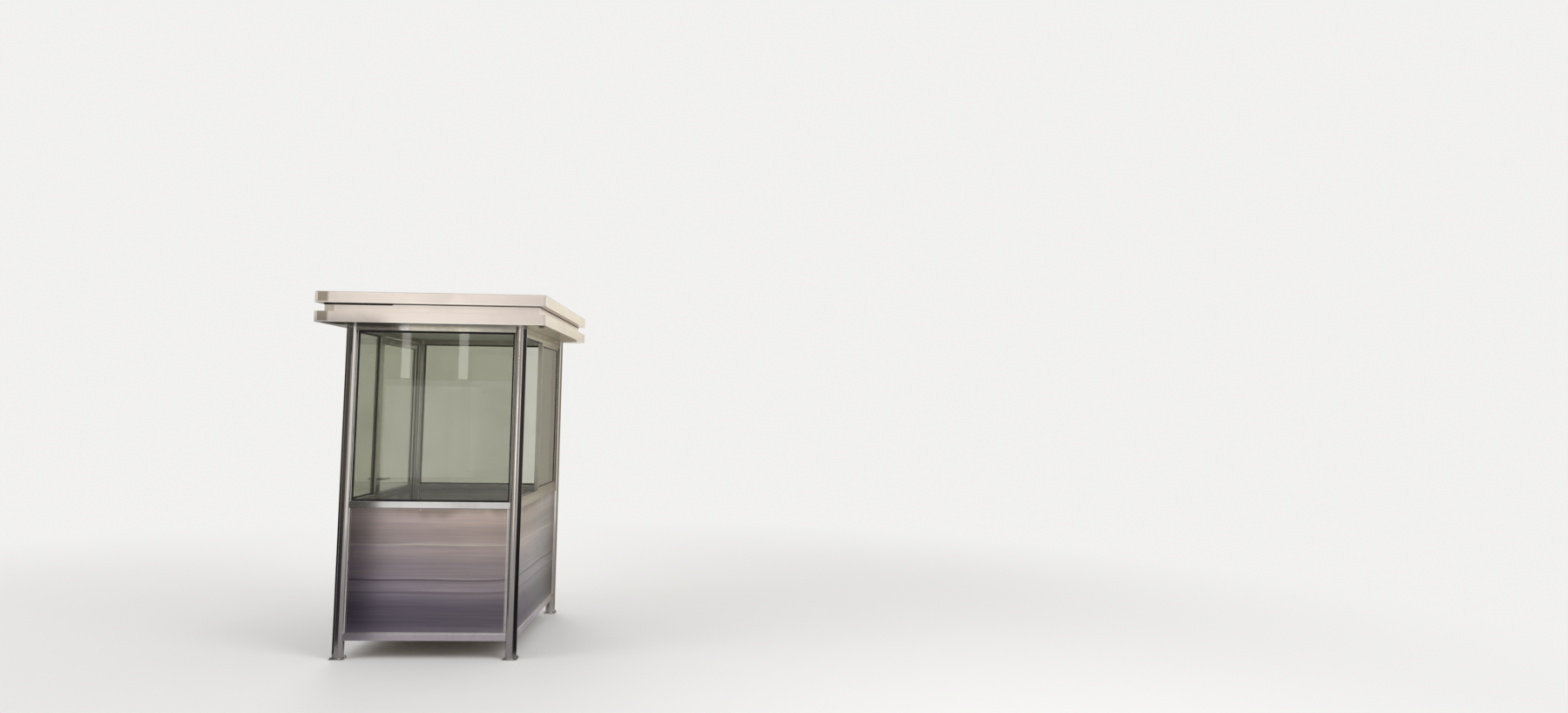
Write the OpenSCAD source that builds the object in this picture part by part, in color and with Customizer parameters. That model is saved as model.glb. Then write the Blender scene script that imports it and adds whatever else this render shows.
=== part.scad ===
// Security guard booth: a stainless steel cabin on four round columns, with a
// two-tier flat roof, glazed walls, a sliding side window and a hinged door.
// Millimetres, +Z up, the front faces -Y, origin on the ground at the centre.

/* [Overall] */
// Distance between the column axes across the front
axis_w = 1120; // [900:10:1600]
// Distance between the column axes from front to back
axis_d = 1620; // [1500:10:2200]
// Height from the ground to the top edge of the roof
total_h = 2400; // [2300:10:2800]
// How far the roof edge reaches beyond the column axes
eave = 190; // [120:5:350]

/* [Columns] */
// Outside diameter of the column tubes
column_d = 76; // [60:1:100]
// Wall of the column tubes
column_wall = 2; // [1.5:0.5:5]
// Side of the square foot plates
foot_w = 94; // [90:2:180]
// Thickness of the foot plates
foot_t = 6; // [4:1:15]
// Corner radius of the foot plates
foot_corner = 8; // [1:1:25]
// Clearance between a column and what is fitted to it
column_gap = 0.3; // [0.1:0.1:1]

/* [Rails] */
// Depth of the rails through the wall
rail_t = 44; // [40:1:56]
// Wall of the rail tubes
rail_wall = 2; // [1.5:0.5:4]
// Outside corner radius of the rail tubes
rail_corner = 3; // [0.5:0.5:4]
// Height of the base rails' underside above the ground
base_z = 120; // [60:5:250]
// Height of the base rails
base_h = 48; // [40:1:80]
// Height of the sills' underside above the ground
sill_z = 982; // [800:1:1150]
// Height of the sills
sill_h = 44; // [30:1:70]
// Height of the head rails that shows below the roof
head_h = 40; // [30:1:80]

/* [Lower panels] */
// Thickness of the insulated lower panels
panel_t = 30; // [20:1:36]
// Face width of the channel on each upright panel edge
channel_face = 11; // [6:1:25]
// Sheet of the channel, standing proud of the panel
channel_t = 1.5; // [1:0.5:2]

/* [Fixed windows] */
// Face width of the rubber channel round a fixed pane
frame_face = 10; // [10:1:40]
// Depth of the rubber channel
frame_t = 14; // [12:1:36]
// Thickness of the panes
glass_t = 6; // [4:1:8]
// How deep a pane sits in its channel or frame
glass_bite = 7; // [4:1:9]
// Clearance between a pane and the sides of its groove
glass_gap = 0.3; // [0.1:0.1:0.8]
// Joint between an upright frame and its column
side_joint = 2; // [0.5:0.5:4]

/* [Sliding window] */
// Face width of the track frame
track_face = 24; // [18:1:40]
// Sheet left outside and between the two tracks
track_wall = 2; // [1.5:0.5:3]
// Depth of the tracks that hold the sashes
track_depth = 12; // [8:1:15]
// Thickness of a sash
sash_t = 18; // [14:1:19]
// Face width of a sash
sash_face = 28; // [22:1:50]
// Running clearance of a sash at the sides of its track
sash_gap = 1; // [0.5:0.5:1.5]
// Clearance of a sash over the bottom of its track
sash_seat = 0.3; // [0.1:0.1:0.5]
// Room over a sash, to lift it out of its track
sash_lift = 5; // [2:1:7]
// How far short of fully open the sliding sash stands
slide_short = 53; // [0:1:300]
// Height of the finger pull in the sliding sash
pull_h = 120; // [60:5:200]
// Width of the finger pull
pull_w = 12; // [8:1:18]
// Depth of the finger pull in each face of the sash
pull_in = 4; // [2:0.5:5]

/* [Door] */
// Distance from the front column axis to the door's front post
front_light = 560; // [400:10:800]
// Width of the door posts
post_w = 50; // [30:1:80]
// Gap between the door leaf and its posts and rails
door_gap = 6; // [5:0.5:10]
// Thickness of the door leaf
leaf_t = 34; // [26:1:36]
// Face width of the leaf's stiles and top rail
leaf_face = 45; // [35:1:90]
// Height of the leaf's bottom rail
kick_h = 70; // [45:1:150]
// Thickness of the leaf's lower panel
leaf_panel_t = 22; // [12:1:24]
// How far the stop lip reaches behind the leaf
stop_reach = 12; // [6:1:20]
// Gap between the leaf's inner face and the stop lips
stop_gap = 5; // [3:0.5:7]

/* [Handle] */
// Height of the spindle above the floor
handle_z = 960; // [850:10:1100]
// Width of the handle's plates
plate_w = 26; // [22:1:30]
// Height of the handle's plates
plate_h = 190; // [120:5:240]
// Thickness of the handle's plates
plate_t = 6; // [3:1:10]
// Radius of the spindle's neck
neck_r = 9; // [8:0.5:11]
// Length of the spindle's neck
neck_len = 34; // [28:1:60]
// Length of the lever
lever_len = 115; // [80:5:150]
// Radius of the lever
lever_r = 8; // [6:0.5:9]

/* [Hinges] */
// Radius of the hinge knuckles
knuckle_r = 7; // [6:0.5:12]
// Radius of the hinge pins
pin_r = 4; // [3:0.5:5]
// Radial clearance of the knuckles on their pins
pin_gap = 0.05; // [0.02:0.01:0.1]
// Length of a hinge
hinge_len = 100; // [70:5:150]
// Distance of the outer hinges' middle from the leaf's ends
hinge_inset = 220; // [100:10:400]
// Gap between the two knuckles of a hinge
knuckle_gap = 0.5; // [0.2:0.1:1]
// Thickness of a knuckle's closed top
knuckle_cap = 1; // [0.5:0.5:3]
// Play over the end of a pin
pin_play = 1; // [0.5:0.5:3]
// Width of a hinge leaf
hinge_w = 34; // [20:1:45]
// Sheet of a hinge leaf
hinge_t = 3; // [2:0.5:4]

/* [Roof] */
// Height of each roof band
band_h = 72; // [50:1:120]
// Height of the groove between the bands
groove_h = 56; // [30:1:100]
// How far the groove is set back from the bands
groove_in = 48; // [20:1:80]
// Sheet of the roof bands
sheet_t = 2; // [1.5:0.5:3]
// Width of the lip folded in under and over the roof bands
lip_w = 26; // [15:1:60]
// Height of the frame tubes inside the roof
roof_tube_h = 50; // [40:1:60]
// Width of the frame tubes inside the roof
roof_tube_w = 50; // [40:1:70]
// Thickness of the roof deck at its edge
deck_t = 2; // [1:0.5:5]
// Height of the roof deck at its middle
deck_rise = 12; // [6:1:40]
// Thickness of the ceiling lining
ceiling_t = 8; // [4:1:20]

/* [Floor and desk] */
// Thickness of the floor plate
floor_t = 18; // [10:1:24]
// Width of the floor joists
joist_w = 40; // [30:1:60]
// Distance between the floor joists
joist_pitch = 405; // [300:5:600]
// Thickness of the desk top
desk_t = 25; // [18:1:40]
// How far the desk surface lies below the sills
desk_drop = 32; // [5:1:200]
// Depth of the desk from front to back
desk_depth = 450; // [300:10:600]
// Clearance of the desk to the walls round it
desk_gap = 0.3; // [0.1:0.1:1]
// Thickness of a desk bracket
bracket_t = 5; // [3:1:8]
// Distance between the desk brackets
bracket_pitch = 724; // [400:2:760]
// How far a bracket stays behind the desk's edge
bracket_short = 80; // [40:5:150]
// Height of a bracket at the wall
bracket_drop = 260; // [150:10:350]
// Width of a bracket at its two ends
bracket_toe = 30; // [20:1:50]

/* [Hidden] */

stainless = "silver";
rubber = "dimgray";
glass_tint = [0.62, 0.72, 0.66, 0.4];
eps = 0.5;
round_fn = 96;
small_fn = 48;

column_r = column_d / 2;
roof_h = 2 * band_h + groove_h;
roof_z = total_h - roof_h;
soffit_z = roof_z + sheet_t;
frame_z = soffit_z + sheet_t;
head_z = roof_z - head_h;
floor_z = base_z + base_h;
sill_top = sill_z + sill_h;
roof_w = axis_w + 2 * eave;
roof_d = axis_d + 2 * eave;

// Clear length between the columns of a long side and of a short side
clear_w = axis_w - column_d - 2 * side_joint;
clear_d = axis_d - column_d - 2 * side_joint;
window_h = head_z - sill_top;

// Sliding window
slot_t = sash_t + 2 * sash_gap;
track_t = 2 * slot_t + 3 * track_wall;
slot_mid = (slot_t + track_wall) / 2;
run_len = clear_d - 2 * (track_face - track_depth);
sash_w = (run_len + sash_face) / 2 - sash_gap;
sash_h = window_h - 2 * (track_face - track_depth) - sash_seat - sash_lift;
sash_z = sill_top + track_face - track_depth + sash_seat;
sash_back_x = run_len / 2 - sash_gap - sash_w / 2;

// Door, along the left side: x = 0 is the middle of the side, +x is the front
post_front = axis_d / 2 - front_light;
leaf_front = post_front - post_w - door_gap;
post_rear = -clear_d / 2 + post_w;
leaf_rear = post_rear + door_gap;
leaf_w = leaf_front - leaf_rear;
leaf_z = floor_z + door_gap;
leaf_h = head_z - door_gap - leaf_z;
leaf_y = -rail_t / 2;
hinge_x = post_rear + door_gap / 2;
hinge_y = -rail_t / 2 - knuckle_r;
knuckle_h = hinge_len / 2 - knuckle_gap / 2;
pin_top = hinge_len / 2 - knuckle_cap - pin_play;
hinge_levels = [leaf_z + hinge_inset, leaf_z + leaf_h / 2, leaf_z + leaf_h - hinge_inset];
stop_t = rail_t - leaf_t - stop_gap;
leaf_low_h = sill_z - leaf_z - kick_h;
leaf_high_z = sill_top - leaf_z;
leaf_high_h = leaf_h - leaf_high_z;
handle_x = leaf_front - leaf_face + plate_w / 2;

// Left wall beside the door: from the front column to the door's front post
left_light_w = clear_d / 2 - post_front;
left_light_x = clear_d / 2 - left_light_w / 2;

// Desk, against the front panel
desk_y = -axis_d / 2 + panel_t / 2;
desk_back_y = desk_y + channel_t + desk_gap;
desk_w = axis_w - panel_t - 2 * channel_t - 2 * desk_gap;
desk_z = sill_z - desk_drop - desk_t;

// Moves children from a side's own frame, where x runs along the side from the
// middle and -y points outwards, to that side of the booth
module at_front() { translate([0, -axis_d / 2, 0]) children(); }
module at_back() { rotate(180) at_front() children(); }
module at_right() { translate([axis_w / 2, 0, 0]) rotate(90) children(); }
module at_left() { translate([-axis_w / 2, 0, 0]) rotate(-90) children(); }

// A box centred on x and y, standing on its base
module slab(w, d, h) { translate([-w / 2, -d / 2, 0]) cube([w, d, h]); }

// Room for the four columns, from the ground up
module column_room() {
    for (sx = [-1, 1], sy = [-1, 1])
        translate([sx * axis_w / 2, sy * axis_d / 2, -eps])
            cylinder(r = column_r + column_gap, h = total_h, $fn = round_fn);
}

// An outline w by h with round corners
module round_rect(w, h, r) {
    square([w - 2 * r, h], center = true);
    square([w, h - 2 * r], center = true);
    for (sx = [-1, 1], sy = [-1, 1])
        translate([sx * (w / 2 - r), sy * (h / 2 - r)]) circle(r = r, $fn = small_fn);
}

// A column: a round tube welded on a square foot plate
module column(sx, sy) {
    color(stainless)
        translate([sx * axis_w / 2, sy * axis_d / 2, 0]) {
            linear_extrude(foot_t) round_rect(foot_w, foot_w, foot_corner);
            translate([0, 0, foot_t])
                difference() {
                    cylinder(r = column_r, h = frame_z - foot_t, $fn = round_fn);
                    translate([0, 0, eps])
                        cylinder(r = column_r - column_wall, h = frame_z, $fn = round_fn);
                }
        }
}

module column_front_left() { column(-1, -1); }
module column_front_right() { column(1, -1); }
module column_back_left() { column(-1, 1); }
module column_back_right() { column(1, 1); }

// A rectangular tube along x, open at its ends
module tube_x(len, t, h) {
    difference() {
        translate([-len / 2, 0, h / 2])
            rotate([90, 0, 90]) linear_extrude(len) round_rect(t, h, rail_corner);
        translate([0, 0, rail_wall])
            slab(len + 2 * eps, t - 2 * rail_wall, h - 2 * rail_wall);
    }
}

// Four rails from column to column, their ends cut to the round tubes
module rail_ring(z, h) {
    color(stainless)
        difference() {
            translate([0, 0, z]) {
                at_front() tube_x(axis_w, rail_t, h);
                at_back() tube_x(axis_w, rail_t, h);
                at_left() tube_x(axis_d, rail_t, h);
                at_right() tube_x(axis_d, rail_t, h);
            }
            column_room();
        }
}

module base_rails() { rail_ring(base_z, base_h); }
module head_rails() { rail_ring(head_z, soffit_z - head_z); }

// Floor joists between the side rails, under the floor plate
module floor_joists() {
    h = base_h - floor_t;
    len = axis_w - rail_t;
    color("gray")
        for (k = [-1, 0, 1])
            translate([0, k * joist_pitch, base_z]) tube_x(len, joist_w, h);
}

module floor_plate() {
    color("dimgray")
        difference() {
            translate([0, 0, floor_z - floor_t])
                slab(axis_w - rail_t, axis_d - rail_t, floor_t);
            column_room();
        }
}

// An insulated panel with a channel on each upright edge
module wall_panel(w) {
    h = sill_z - floor_z;
    translate([0, 0, floor_z]) {
        slab(w, panel_t, h);
        for (s = [-1, 1])
            translate([s * (w - channel_face) / 2, 0, 0])
                slab(channel_face, panel_t + 2 * channel_t, h);
    }
}

module front_panel() { color(stainless) at_front() wall_panel(clear_w); }
module back_panel() { color(stainless) at_back() wall_panel(clear_w); }
module right_panel() { color(stainless) at_right() wall_panel(clear_d); }

module left_panel() {
    color(stainless) at_left() translate([left_light_x, 0, 0]) wall_panel(left_light_w);
}

module sill(axis_len) { translate([0, 0, sill_z]) tube_x(axis_len, rail_t, sill_h); }

module front_sill() {
    color(stainless) difference() { at_front() sill(axis_w); column_room(); }
}

module back_sill() {
    color(stainless) difference() { at_back() sill(axis_w); column_room(); }
}

module right_sill() {
    color(stainless) difference() { at_right() sill(axis_d); column_room(); }
}

module left_sill() {
    len = axis_d / 2 - post_front;
    color(stainless)
        difference() {
            at_left() translate([axis_d / 2 - len / 2, 0, 0]) sill(len);
            column_room();
        }
}

// A ring frame around a pane, w by h, with a groove for the pane
module glazed_frame(w, h, face, t, pane_t) {
    difference() {
        slab(w, t, h);
        translate([0, 0, face]) slab(w - 2 * face, t + 2 * eps, h - 2 * face);
        translate([0, 0, face - glass_bite - glass_gap])
            slab(w - 2 * (face - glass_bite - glass_gap), pane_t + 2 * glass_gap,
                 h - 2 * (face - glass_bite - glass_gap));
    }
}

// The pane that fits such a frame
module pane(w, h, face, pane_t) {
    inset = face - glass_bite;
    translate([0, 0, inset]) slab(w - 2 * inset, pane_t, h - 2 * inset);
}

module fixed_frame(w) {
    translate([0, 0, sill_top]) glazed_frame(w, window_h, frame_face, frame_t, glass_t);
}

module fixed_pane(w) { translate([0, 0, sill_top]) pane(w, window_h, frame_face, glass_t); }

module front_window_frame() { color(rubber) at_front() fixed_frame(clear_w); }
module front_glass() { color(glass_tint) at_front() fixed_pane(clear_w); }
module back_window_frame() { color(rubber) at_back() fixed_frame(clear_w); }
module back_glass() { color(glass_tint) at_back() fixed_pane(clear_w); }

module left_window_frame() {
    color(rubber) at_left() translate([left_light_x, 0, 0]) fixed_frame(left_light_w);
}

module left_glass() {
    color(glass_tint) at_left() translate([left_light_x, 0, 0]) fixed_pane(left_light_w);
}

// The sliding window's outer frame, with an outer and an inner track
module right_track_frame() {
    color(stainless)
        at_right()
            translate([0, 0, sill_top])
                difference() {
                    slab(clear_d, track_t, window_h);
                    translate([0, 0, track_face])
                        slab(clear_d - 2 * track_face, track_t + 2 * eps, window_h - 2 * track_face);
                    for (s = [-1, 1])
                        translate([0, s * slot_mid, track_face - track_depth])
                            slab(run_len, slot_t, window_h - 2 * (track_face - track_depth));
                }
}

// Places a sash in its track: the fixed one inside at the back, the sliding
// one outside
module at_fixed_sash() { at_right() translate([sash_back_x, slot_mid, sash_z]) children(); }
module at_sliding_sash() {
    at_right() translate([sash_back_x - slide_short, -slot_mid, sash_z]) children();
}

module sash() { glazed_frame(sash_w, sash_h, sash_face, sash_t, glass_t); }

// Finger pulls, sunk in both faces of the stile that leads when the sash shuts
module sash_pulls() {
    for (s = [-1, 1])
        translate([-sash_w / 2 + sash_face / 2, s * sash_t / 2, (sash_h - pull_h) / 2])
            slab(pull_w, 2 * pull_in, pull_h);
}

module sash_pane() { pane(sash_w, sash_h, sash_face, glass_t); }

module right_fixed_sash() { color(stainless) at_fixed_sash() sash(); }
module right_fixed_glass() { color(glass_tint) at_fixed_sash() sash_pane(); }
module right_sliding_sash() {
    color(stainless) at_sliding_sash() difference() { sash(); sash_pulls(); }
}
module right_sliding_glass() { color(glass_tint) at_sliding_sash() sash_pane(); }

// The door's posts, each with a stop lip behind the leaf
module door_posts() {
    h = head_z - floor_z;
    color(stainless)
        at_left()
            translate([0, 0, floor_z]) {
                translate([post_front - post_w / 2, 0, 0]) slab(post_w, rail_t, h);
                translate([post_rear - post_w / 2, 0, 0]) slab(post_w, rail_t, h);
                translate([leaf_front - stop_reach, rail_t / 2 - stop_t, 0])
                    cube([stop_reach + door_gap, stop_t, h]);
                translate([leaf_rear - door_gap, rail_t / 2 - stop_t, 0])
                    cube([stop_reach + door_gap, stop_t, h]);
            }
}

// Places children at the leaf's lower middle, their y = 0 in its outer face
module at_leaf() {
    at_left() translate([(leaf_front + leaf_rear) / 2, leaf_y, leaf_z]) children();
}

// The leaf's welded frame, with an upper light and a lower panel in grooves
module door_leaf() {
    inner_w = leaf_w - 2 * leaf_face;
    bite = glass_bite + glass_gap;
    color(stainless)
        at_leaf()
            translate([0, leaf_t / 2, 0])
                difference() {
                    slab(leaf_w, leaf_t, leaf_h);
                    translate([0, 0, kick_h]) slab(inner_w, leaf_t + 2 * eps, leaf_low_h);
                    translate([0, 0, kick_h - bite])
                        slab(inner_w + 2 * bite, leaf_panel_t + 2 * glass_gap,
                             leaf_low_h + 2 * bite);
                    translate([0, 0, leaf_high_z])
                        slab(inner_w, leaf_t + 2 * eps, leaf_high_h - leaf_face);
                    translate([0, 0, leaf_high_z - bite])
                        slab(inner_w + 2 * bite, glass_t + 2 * glass_gap,
                             leaf_high_h - leaf_face + 2 * bite);
                }
}

module door_panel() {
    color(stainless)
        at_leaf()
            translate([0, leaf_t / 2, kick_h - glass_bite])
                slab(leaf_w - 2 * leaf_face + 2 * glass_bite, leaf_panel_t,
                     leaf_low_h + 2 * glass_bite);
}

module door_glass() {
    color(glass_tint)
        at_leaf()
            translate([0, leaf_t / 2, leaf_high_z - glass_bite])
                slab(leaf_w - 2 * leaf_face + 2 * glass_bite, glass_t,
                     leaf_high_h - leaf_face + 2 * glass_bite);
}

// A lever on its long plate, drawn for the outer face and pointing to the rear
module lever_set() {
    translate([0, 0, -plate_h / 2])
        rotate([90, 0, 0]) linear_extrude(plate_t)
            translate([0, plate_h / 2]) round_rect(plate_w, plate_h, plate_w / 4);
    translate([0, -plate_t + eps, 0])
        rotate([90, 0, 0]) cylinder(r = neck_r, h = neck_len + eps, $fn = small_fn);
    translate([0, -plate_t - neck_len, 0]) {
        sphere(r = neck_r, $fn = small_fn);
        rotate([0, -90, 0]) cylinder(r = lever_r, h = lever_len, $fn = small_fn);
        translate([-lever_len, 0, 0]) sphere(r = lever_r, $fn = small_fn);
    }
}

module door_handle() {
    color("gainsboro")
        at_left()
            translate([handle_x, leaf_y, floor_z + handle_z]) {
                lever_set();
                translate([0, leaf_t, 0]) mirror([0, 1, 0]) lever_set();
            }
}

// Post side of a lift-off hinge: the lower knuckle with its pin
module hinge_pins() {
    color("gainsboro")
        at_left()
            for (z = hinge_levels)
                translate([hinge_x, hinge_y, z]) {
                    translate([0, 0, -hinge_len / 2])
                        cylinder(r = knuckle_r, h = knuckle_h, $fn = small_fn);
                    translate([0, 0, -hinge_len / 4])
                        cylinder(r = pin_r, h = pin_top + hinge_len / 4, $fn = small_fn);
                    translate([-hinge_w, knuckle_r - hinge_t, -hinge_len / 2])
                        cube([hinge_w, hinge_t, knuckle_h]);
                }
}

// Leaf side of a lift-off hinge: the upper knuckle, bored for the pin
module hinge_knuckles() {
    color("gainsboro")
        at_left()
            for (z = hinge_levels)
                translate([hinge_x, hinge_y, z])
                    difference() {
                        union() {
                            translate([0, 0, knuckle_gap / 2])
                                cylinder(r = knuckle_r, h = knuckle_h, $fn = small_fn);
                            translate([0, knuckle_r - hinge_t, knuckle_gap / 2])
                                cube([hinge_w, hinge_t, knuckle_h]);
                        }
                        translate([0, 0, -eps])
                            cylinder(r = pin_r + pin_gap, h = pin_top + pin_play + eps,
                                     $fn = small_fn);
                    }
}

// Tubes on the columns that carry the roof
module roof_frame() {
    color("gray")
        translate([0, 0, frame_z])
            difference() {
                slab(axis_w + roof_tube_w, axis_d + roof_tube_w, roof_tube_h);
                for (s = [-1, 1])
                    translate([0, s * axis_d / 4, -eps])
                        slab(axis_w - roof_tube_w, axis_d / 2 - roof_tube_w,
                             roof_tube_h + 2 * eps);
            }
}

// The underside of the eaves, from the bands' lip to the head rails
module soffit() {
    color(stainless)
        difference() {
            translate([0, 0, soffit_z])
                slab(roof_w - 2 * sheet_t - 2 * column_gap, roof_d - 2 * sheet_t - 2 * column_gap,
                     sheet_t);
            translate([0, 0, soffit_z - eps])
                slab(axis_w - rail_t, axis_d - rail_t, sheet_t + 2 * eps);
            column_room();
        }
}

module ceiling() {
    color("white")
        difference() {
            translate([0, 0, frame_z - ceiling_t])
                slab(axis_w - rail_t, axis_d - rail_t, ceiling_t);
            column_room();
        }
}

// A folded roof band: an upright face with a lip turned in below and above
module folded_band(low_lip, high_lip) {
    difference() {
        slab(roof_w, roof_d, band_h);
        translate([0, 0, sheet_t])
            slab(roof_w - 2 * sheet_t, roof_d - 2 * sheet_t, band_h - 2 * sheet_t);
        translate([0, 0, -eps])
            slab(roof_w - 2 * low_lip, roof_d - 2 * low_lip, sheet_t + 2 * eps);
        translate([0, 0, band_h - sheet_t - eps])
            slab(roof_w - 2 * high_lip, roof_d - 2 * high_lip, sheet_t + 2 * eps);
    }
}

module roof_lower_band() {
    color(stainless) translate([0, 0, roof_z]) folded_band(lip_w, groove_in + lip_w);
}

// The recessed strip between the two bands
module roof_groove() {
    w = roof_w - 2 * groove_in;
    d = roof_d - 2 * groove_in;
    color(stainless)
        translate([0, 0, roof_z + band_h])
            difference() {
                slab(w, d, groove_h);
                translate([0, 0, -eps])
                    slab(w - 2 * sheet_t, d - 2 * sheet_t, groove_h + 2 * eps);
            }
}

module roof_upper_band() {
    color(stainless)
        translate([0, 0, roof_z + band_h + groove_h])
            folded_band(groove_in + lip_w, lip_w);
}

// The roof's top sheet, crowned towards the middle to shed water
module roof_deck() {
    w = roof_w - 2 * sheet_t - 2 * column_gap;
    d = roof_d - 2 * sheet_t - 2 * column_gap;
    ridge = d - w;
    color(stainless)
        translate([0, 0, total_h])
            polyhedron(
                points = [
                    for (z = [0, deck_t], corner = [[-1, -1], [1, -1], [1, 1], [-1, 1]])
                        [corner[0] * w / 2, corner[1] * d / 2, z],
                    [0, -ridge / 2, deck_rise],
                    [0, ridge / 2, deck_rise]
                ],
                faces = [
                    [0, 1, 2, 3],
                    [1, 0, 4, 5], [2, 1, 5, 6], [3, 2, 6, 7], [0, 3, 7, 4],
                    [5, 4, 8], [6, 5, 8, 9], [7, 6, 9], [4, 7, 9, 8]
                ]
            );
}

module desk_top() {
    color("saddlebrown")
        difference() {
            translate([-desk_w / 2, desk_back_y, desk_z]) cube([desk_w, desk_depth, desk_t]);
            column_room();
        }
}

// Gusset brackets on the front panel, under the desk
module desk_brackets() {
    reach = desk_depth - bracket_short;
    color("dimgray")
        for (k = [-1, 1])
            translate([k * bracket_pitch / 2 - bracket_t / 2, desk_y, desk_z])
                rotate([90, 0, 90])
                    linear_extrude(bracket_t)
                        polygon([
                            [0, 0], [reach, 0], [reach, -bracket_toe],
                            [bracket_toe, -bracket_drop], [0, -bracket_drop]
                        ]);
}

column_front_left();
column_front_right();
column_back_left();
column_back_right();
base_rails();
floor_joists();
floor_plate();
front_panel();
back_panel();
right_panel();
left_panel();
front_sill();
back_sill();
right_sill();
left_sill();
head_rails();
front_window_frame();
front_glass();
back_window_frame();
back_glass();
left_window_frame();
left_glass();
right_track_frame();
right_fixed_sash();
right_fixed_glass();
right_sliding_sash();
right_sliding_glass();
door_posts();
door_leaf();
door_panel();
door_glass();
door_handle();
hinge_pins();
hinge_knuckles();
roof_frame();
soffit();
ceiling();
roof_lower_band();
roof_groove();
roof_upper_band();
roof_deck();
desk_top();
desk_brackets();
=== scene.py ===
import math

import bmesh
import bpy
from mathutils import Matrix, Vector


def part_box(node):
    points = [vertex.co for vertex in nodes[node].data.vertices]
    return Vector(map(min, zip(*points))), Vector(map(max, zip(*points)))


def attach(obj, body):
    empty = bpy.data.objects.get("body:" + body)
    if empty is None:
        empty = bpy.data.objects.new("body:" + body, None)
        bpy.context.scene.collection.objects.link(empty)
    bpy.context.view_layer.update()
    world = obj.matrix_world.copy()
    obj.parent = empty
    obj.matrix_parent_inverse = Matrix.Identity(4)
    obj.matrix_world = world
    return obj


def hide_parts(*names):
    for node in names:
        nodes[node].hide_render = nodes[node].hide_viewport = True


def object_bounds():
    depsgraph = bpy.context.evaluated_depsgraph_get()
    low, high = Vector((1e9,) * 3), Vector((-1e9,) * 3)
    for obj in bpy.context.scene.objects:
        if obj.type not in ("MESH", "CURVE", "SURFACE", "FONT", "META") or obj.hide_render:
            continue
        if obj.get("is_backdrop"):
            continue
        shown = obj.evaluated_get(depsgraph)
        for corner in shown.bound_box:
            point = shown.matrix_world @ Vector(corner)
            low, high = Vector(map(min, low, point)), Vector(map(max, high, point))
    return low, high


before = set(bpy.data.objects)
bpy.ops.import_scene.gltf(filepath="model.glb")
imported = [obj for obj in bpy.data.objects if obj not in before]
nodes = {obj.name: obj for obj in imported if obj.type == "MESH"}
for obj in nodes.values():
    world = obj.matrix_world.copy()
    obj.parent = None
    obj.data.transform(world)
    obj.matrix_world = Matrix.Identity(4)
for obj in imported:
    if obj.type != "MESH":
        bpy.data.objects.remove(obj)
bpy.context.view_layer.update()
scene = bpy.context.scene

# Camera: it stands where the photograph was taken, in front of the booth and to
# its right, at eye height, and looks slightly up through a wide lens.
image_w, image_h = 1800, 818
focal_px = 1241
principal_y_px = 366
camera_place = Vector((1.944, -8.206, 1.681))
yaw, pitch, roll = math.radians(-3.064), math.radians(4.691), math.radians(0.81)
camera_data = bpy.data.cameras.new("camera")
camera_data.sensor_width = 36
camera_data.lens = focal_px * camera_data.sensor_width / image_w
camera_data.shift_y = (principal_y_px - image_h / 2) / image_w
camera = bpy.data.objects.new("camera", camera_data)
turn = (
    Matrix.Rotation(yaw, 4, "Z")
    @ Matrix.Rotation(math.pi / 2 + pitch, 4, "X")
    @ Matrix.Rotation(roll, 4, "Z")
)
camera.matrix_world = Matrix.Translation(camera_place) @ turn
scene.collection.objects.link(camera)
scene.camera = camera
scene.view_settings.view_transform = "Standard"

# Studio: a wide pale floor that fades into the pale background, with an even
# soft light from all round and three large lamps above the booth.
pale = (0.88, 0.875, 0.86)
floor_r, fade_from, fade_to = 40, 2.2, 8.5


def feed(tree, term, place_in):
    """Gives a node's input a term: a link if it is a socket, or else a value"""
    if isinstance(term, bpy.types.NodeSocket):
        tree.links.new(term, place_in)
    else:
        place_in.default_value = term


def reckon(tree, operation, first, second=None, kind="Math"):
    """A Math or Vector Math node's output: each term is a value or a socket"""
    sum_node = tree.nodes.new("ShaderNode" + kind)
    sum_node.operation = operation
    for place_in, term in zip(sum_node.inputs, (first, second)):
        if term is not None:
            feed(tree, term, place_in)
    return sum_node.outputs["Value" if operation == "LENGTH" else 0]


def ramp(tree, value, start, end, low=0.0, high=1.0, shape="SMOOTHSTEP"):
    """A Map Range node's output: low where the value is at start, high at end"""
    limits = tree.nodes.new("ShaderNodeMapRange")
    limits.interpolation_type = shape
    for label, term in (
        ("Value", value), ("From Min", start), ("From Max", end), ("To Min", low), ("To Max", high),
    ):
        feed(tree, term, limits.inputs[label])
    return limits.outputs["Result"]


def light_of(tree, kind, colour, strength=1):
    """A Background or Emission node's output"""
    source = tree.nodes.new("ShaderNode" + kind)
    source.inputs["Color"].default_value = (*colour, 1)
    source.inputs["Strength"].default_value = strength
    return source.outputs[0]


def blended(tree, factor, first, second):
    """A Mix Shader node's output"""
    mix = tree.nodes.new("ShaderNodeMixShader")
    for place_in, source in zip(mix.inputs, (factor, first, second)):
        tree.links.new(source, place_in)
    return mix.outputs[0]


def new_finish(name):
    """A new material, and its node tree"""
    finish = bpy.data.materials.new(name)
    finish.use_nodes = True
    return finish, finish.node_tree


def spot_of(tree):
    """The spot that a material's patterns go by, in the frame that all pieces share"""
    return tree.nodes.new("ShaderNodeTexCoord").outputs["Object"]


def stand_up(name, bm):
    """Makes a bmesh a thing of the studio; returns it and its material's node tree"""
    mesh = bpy.data.meshes.new(name)
    bm.to_mesh(mesh)
    bm.free()
    finish, tree = new_finish(name)
    mesh.materials.append(finish)
    thing = bpy.data.objects.new(name, mesh)
    scene.collection.objects.link(thing)
    thing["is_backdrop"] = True
    return thing, tree


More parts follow.
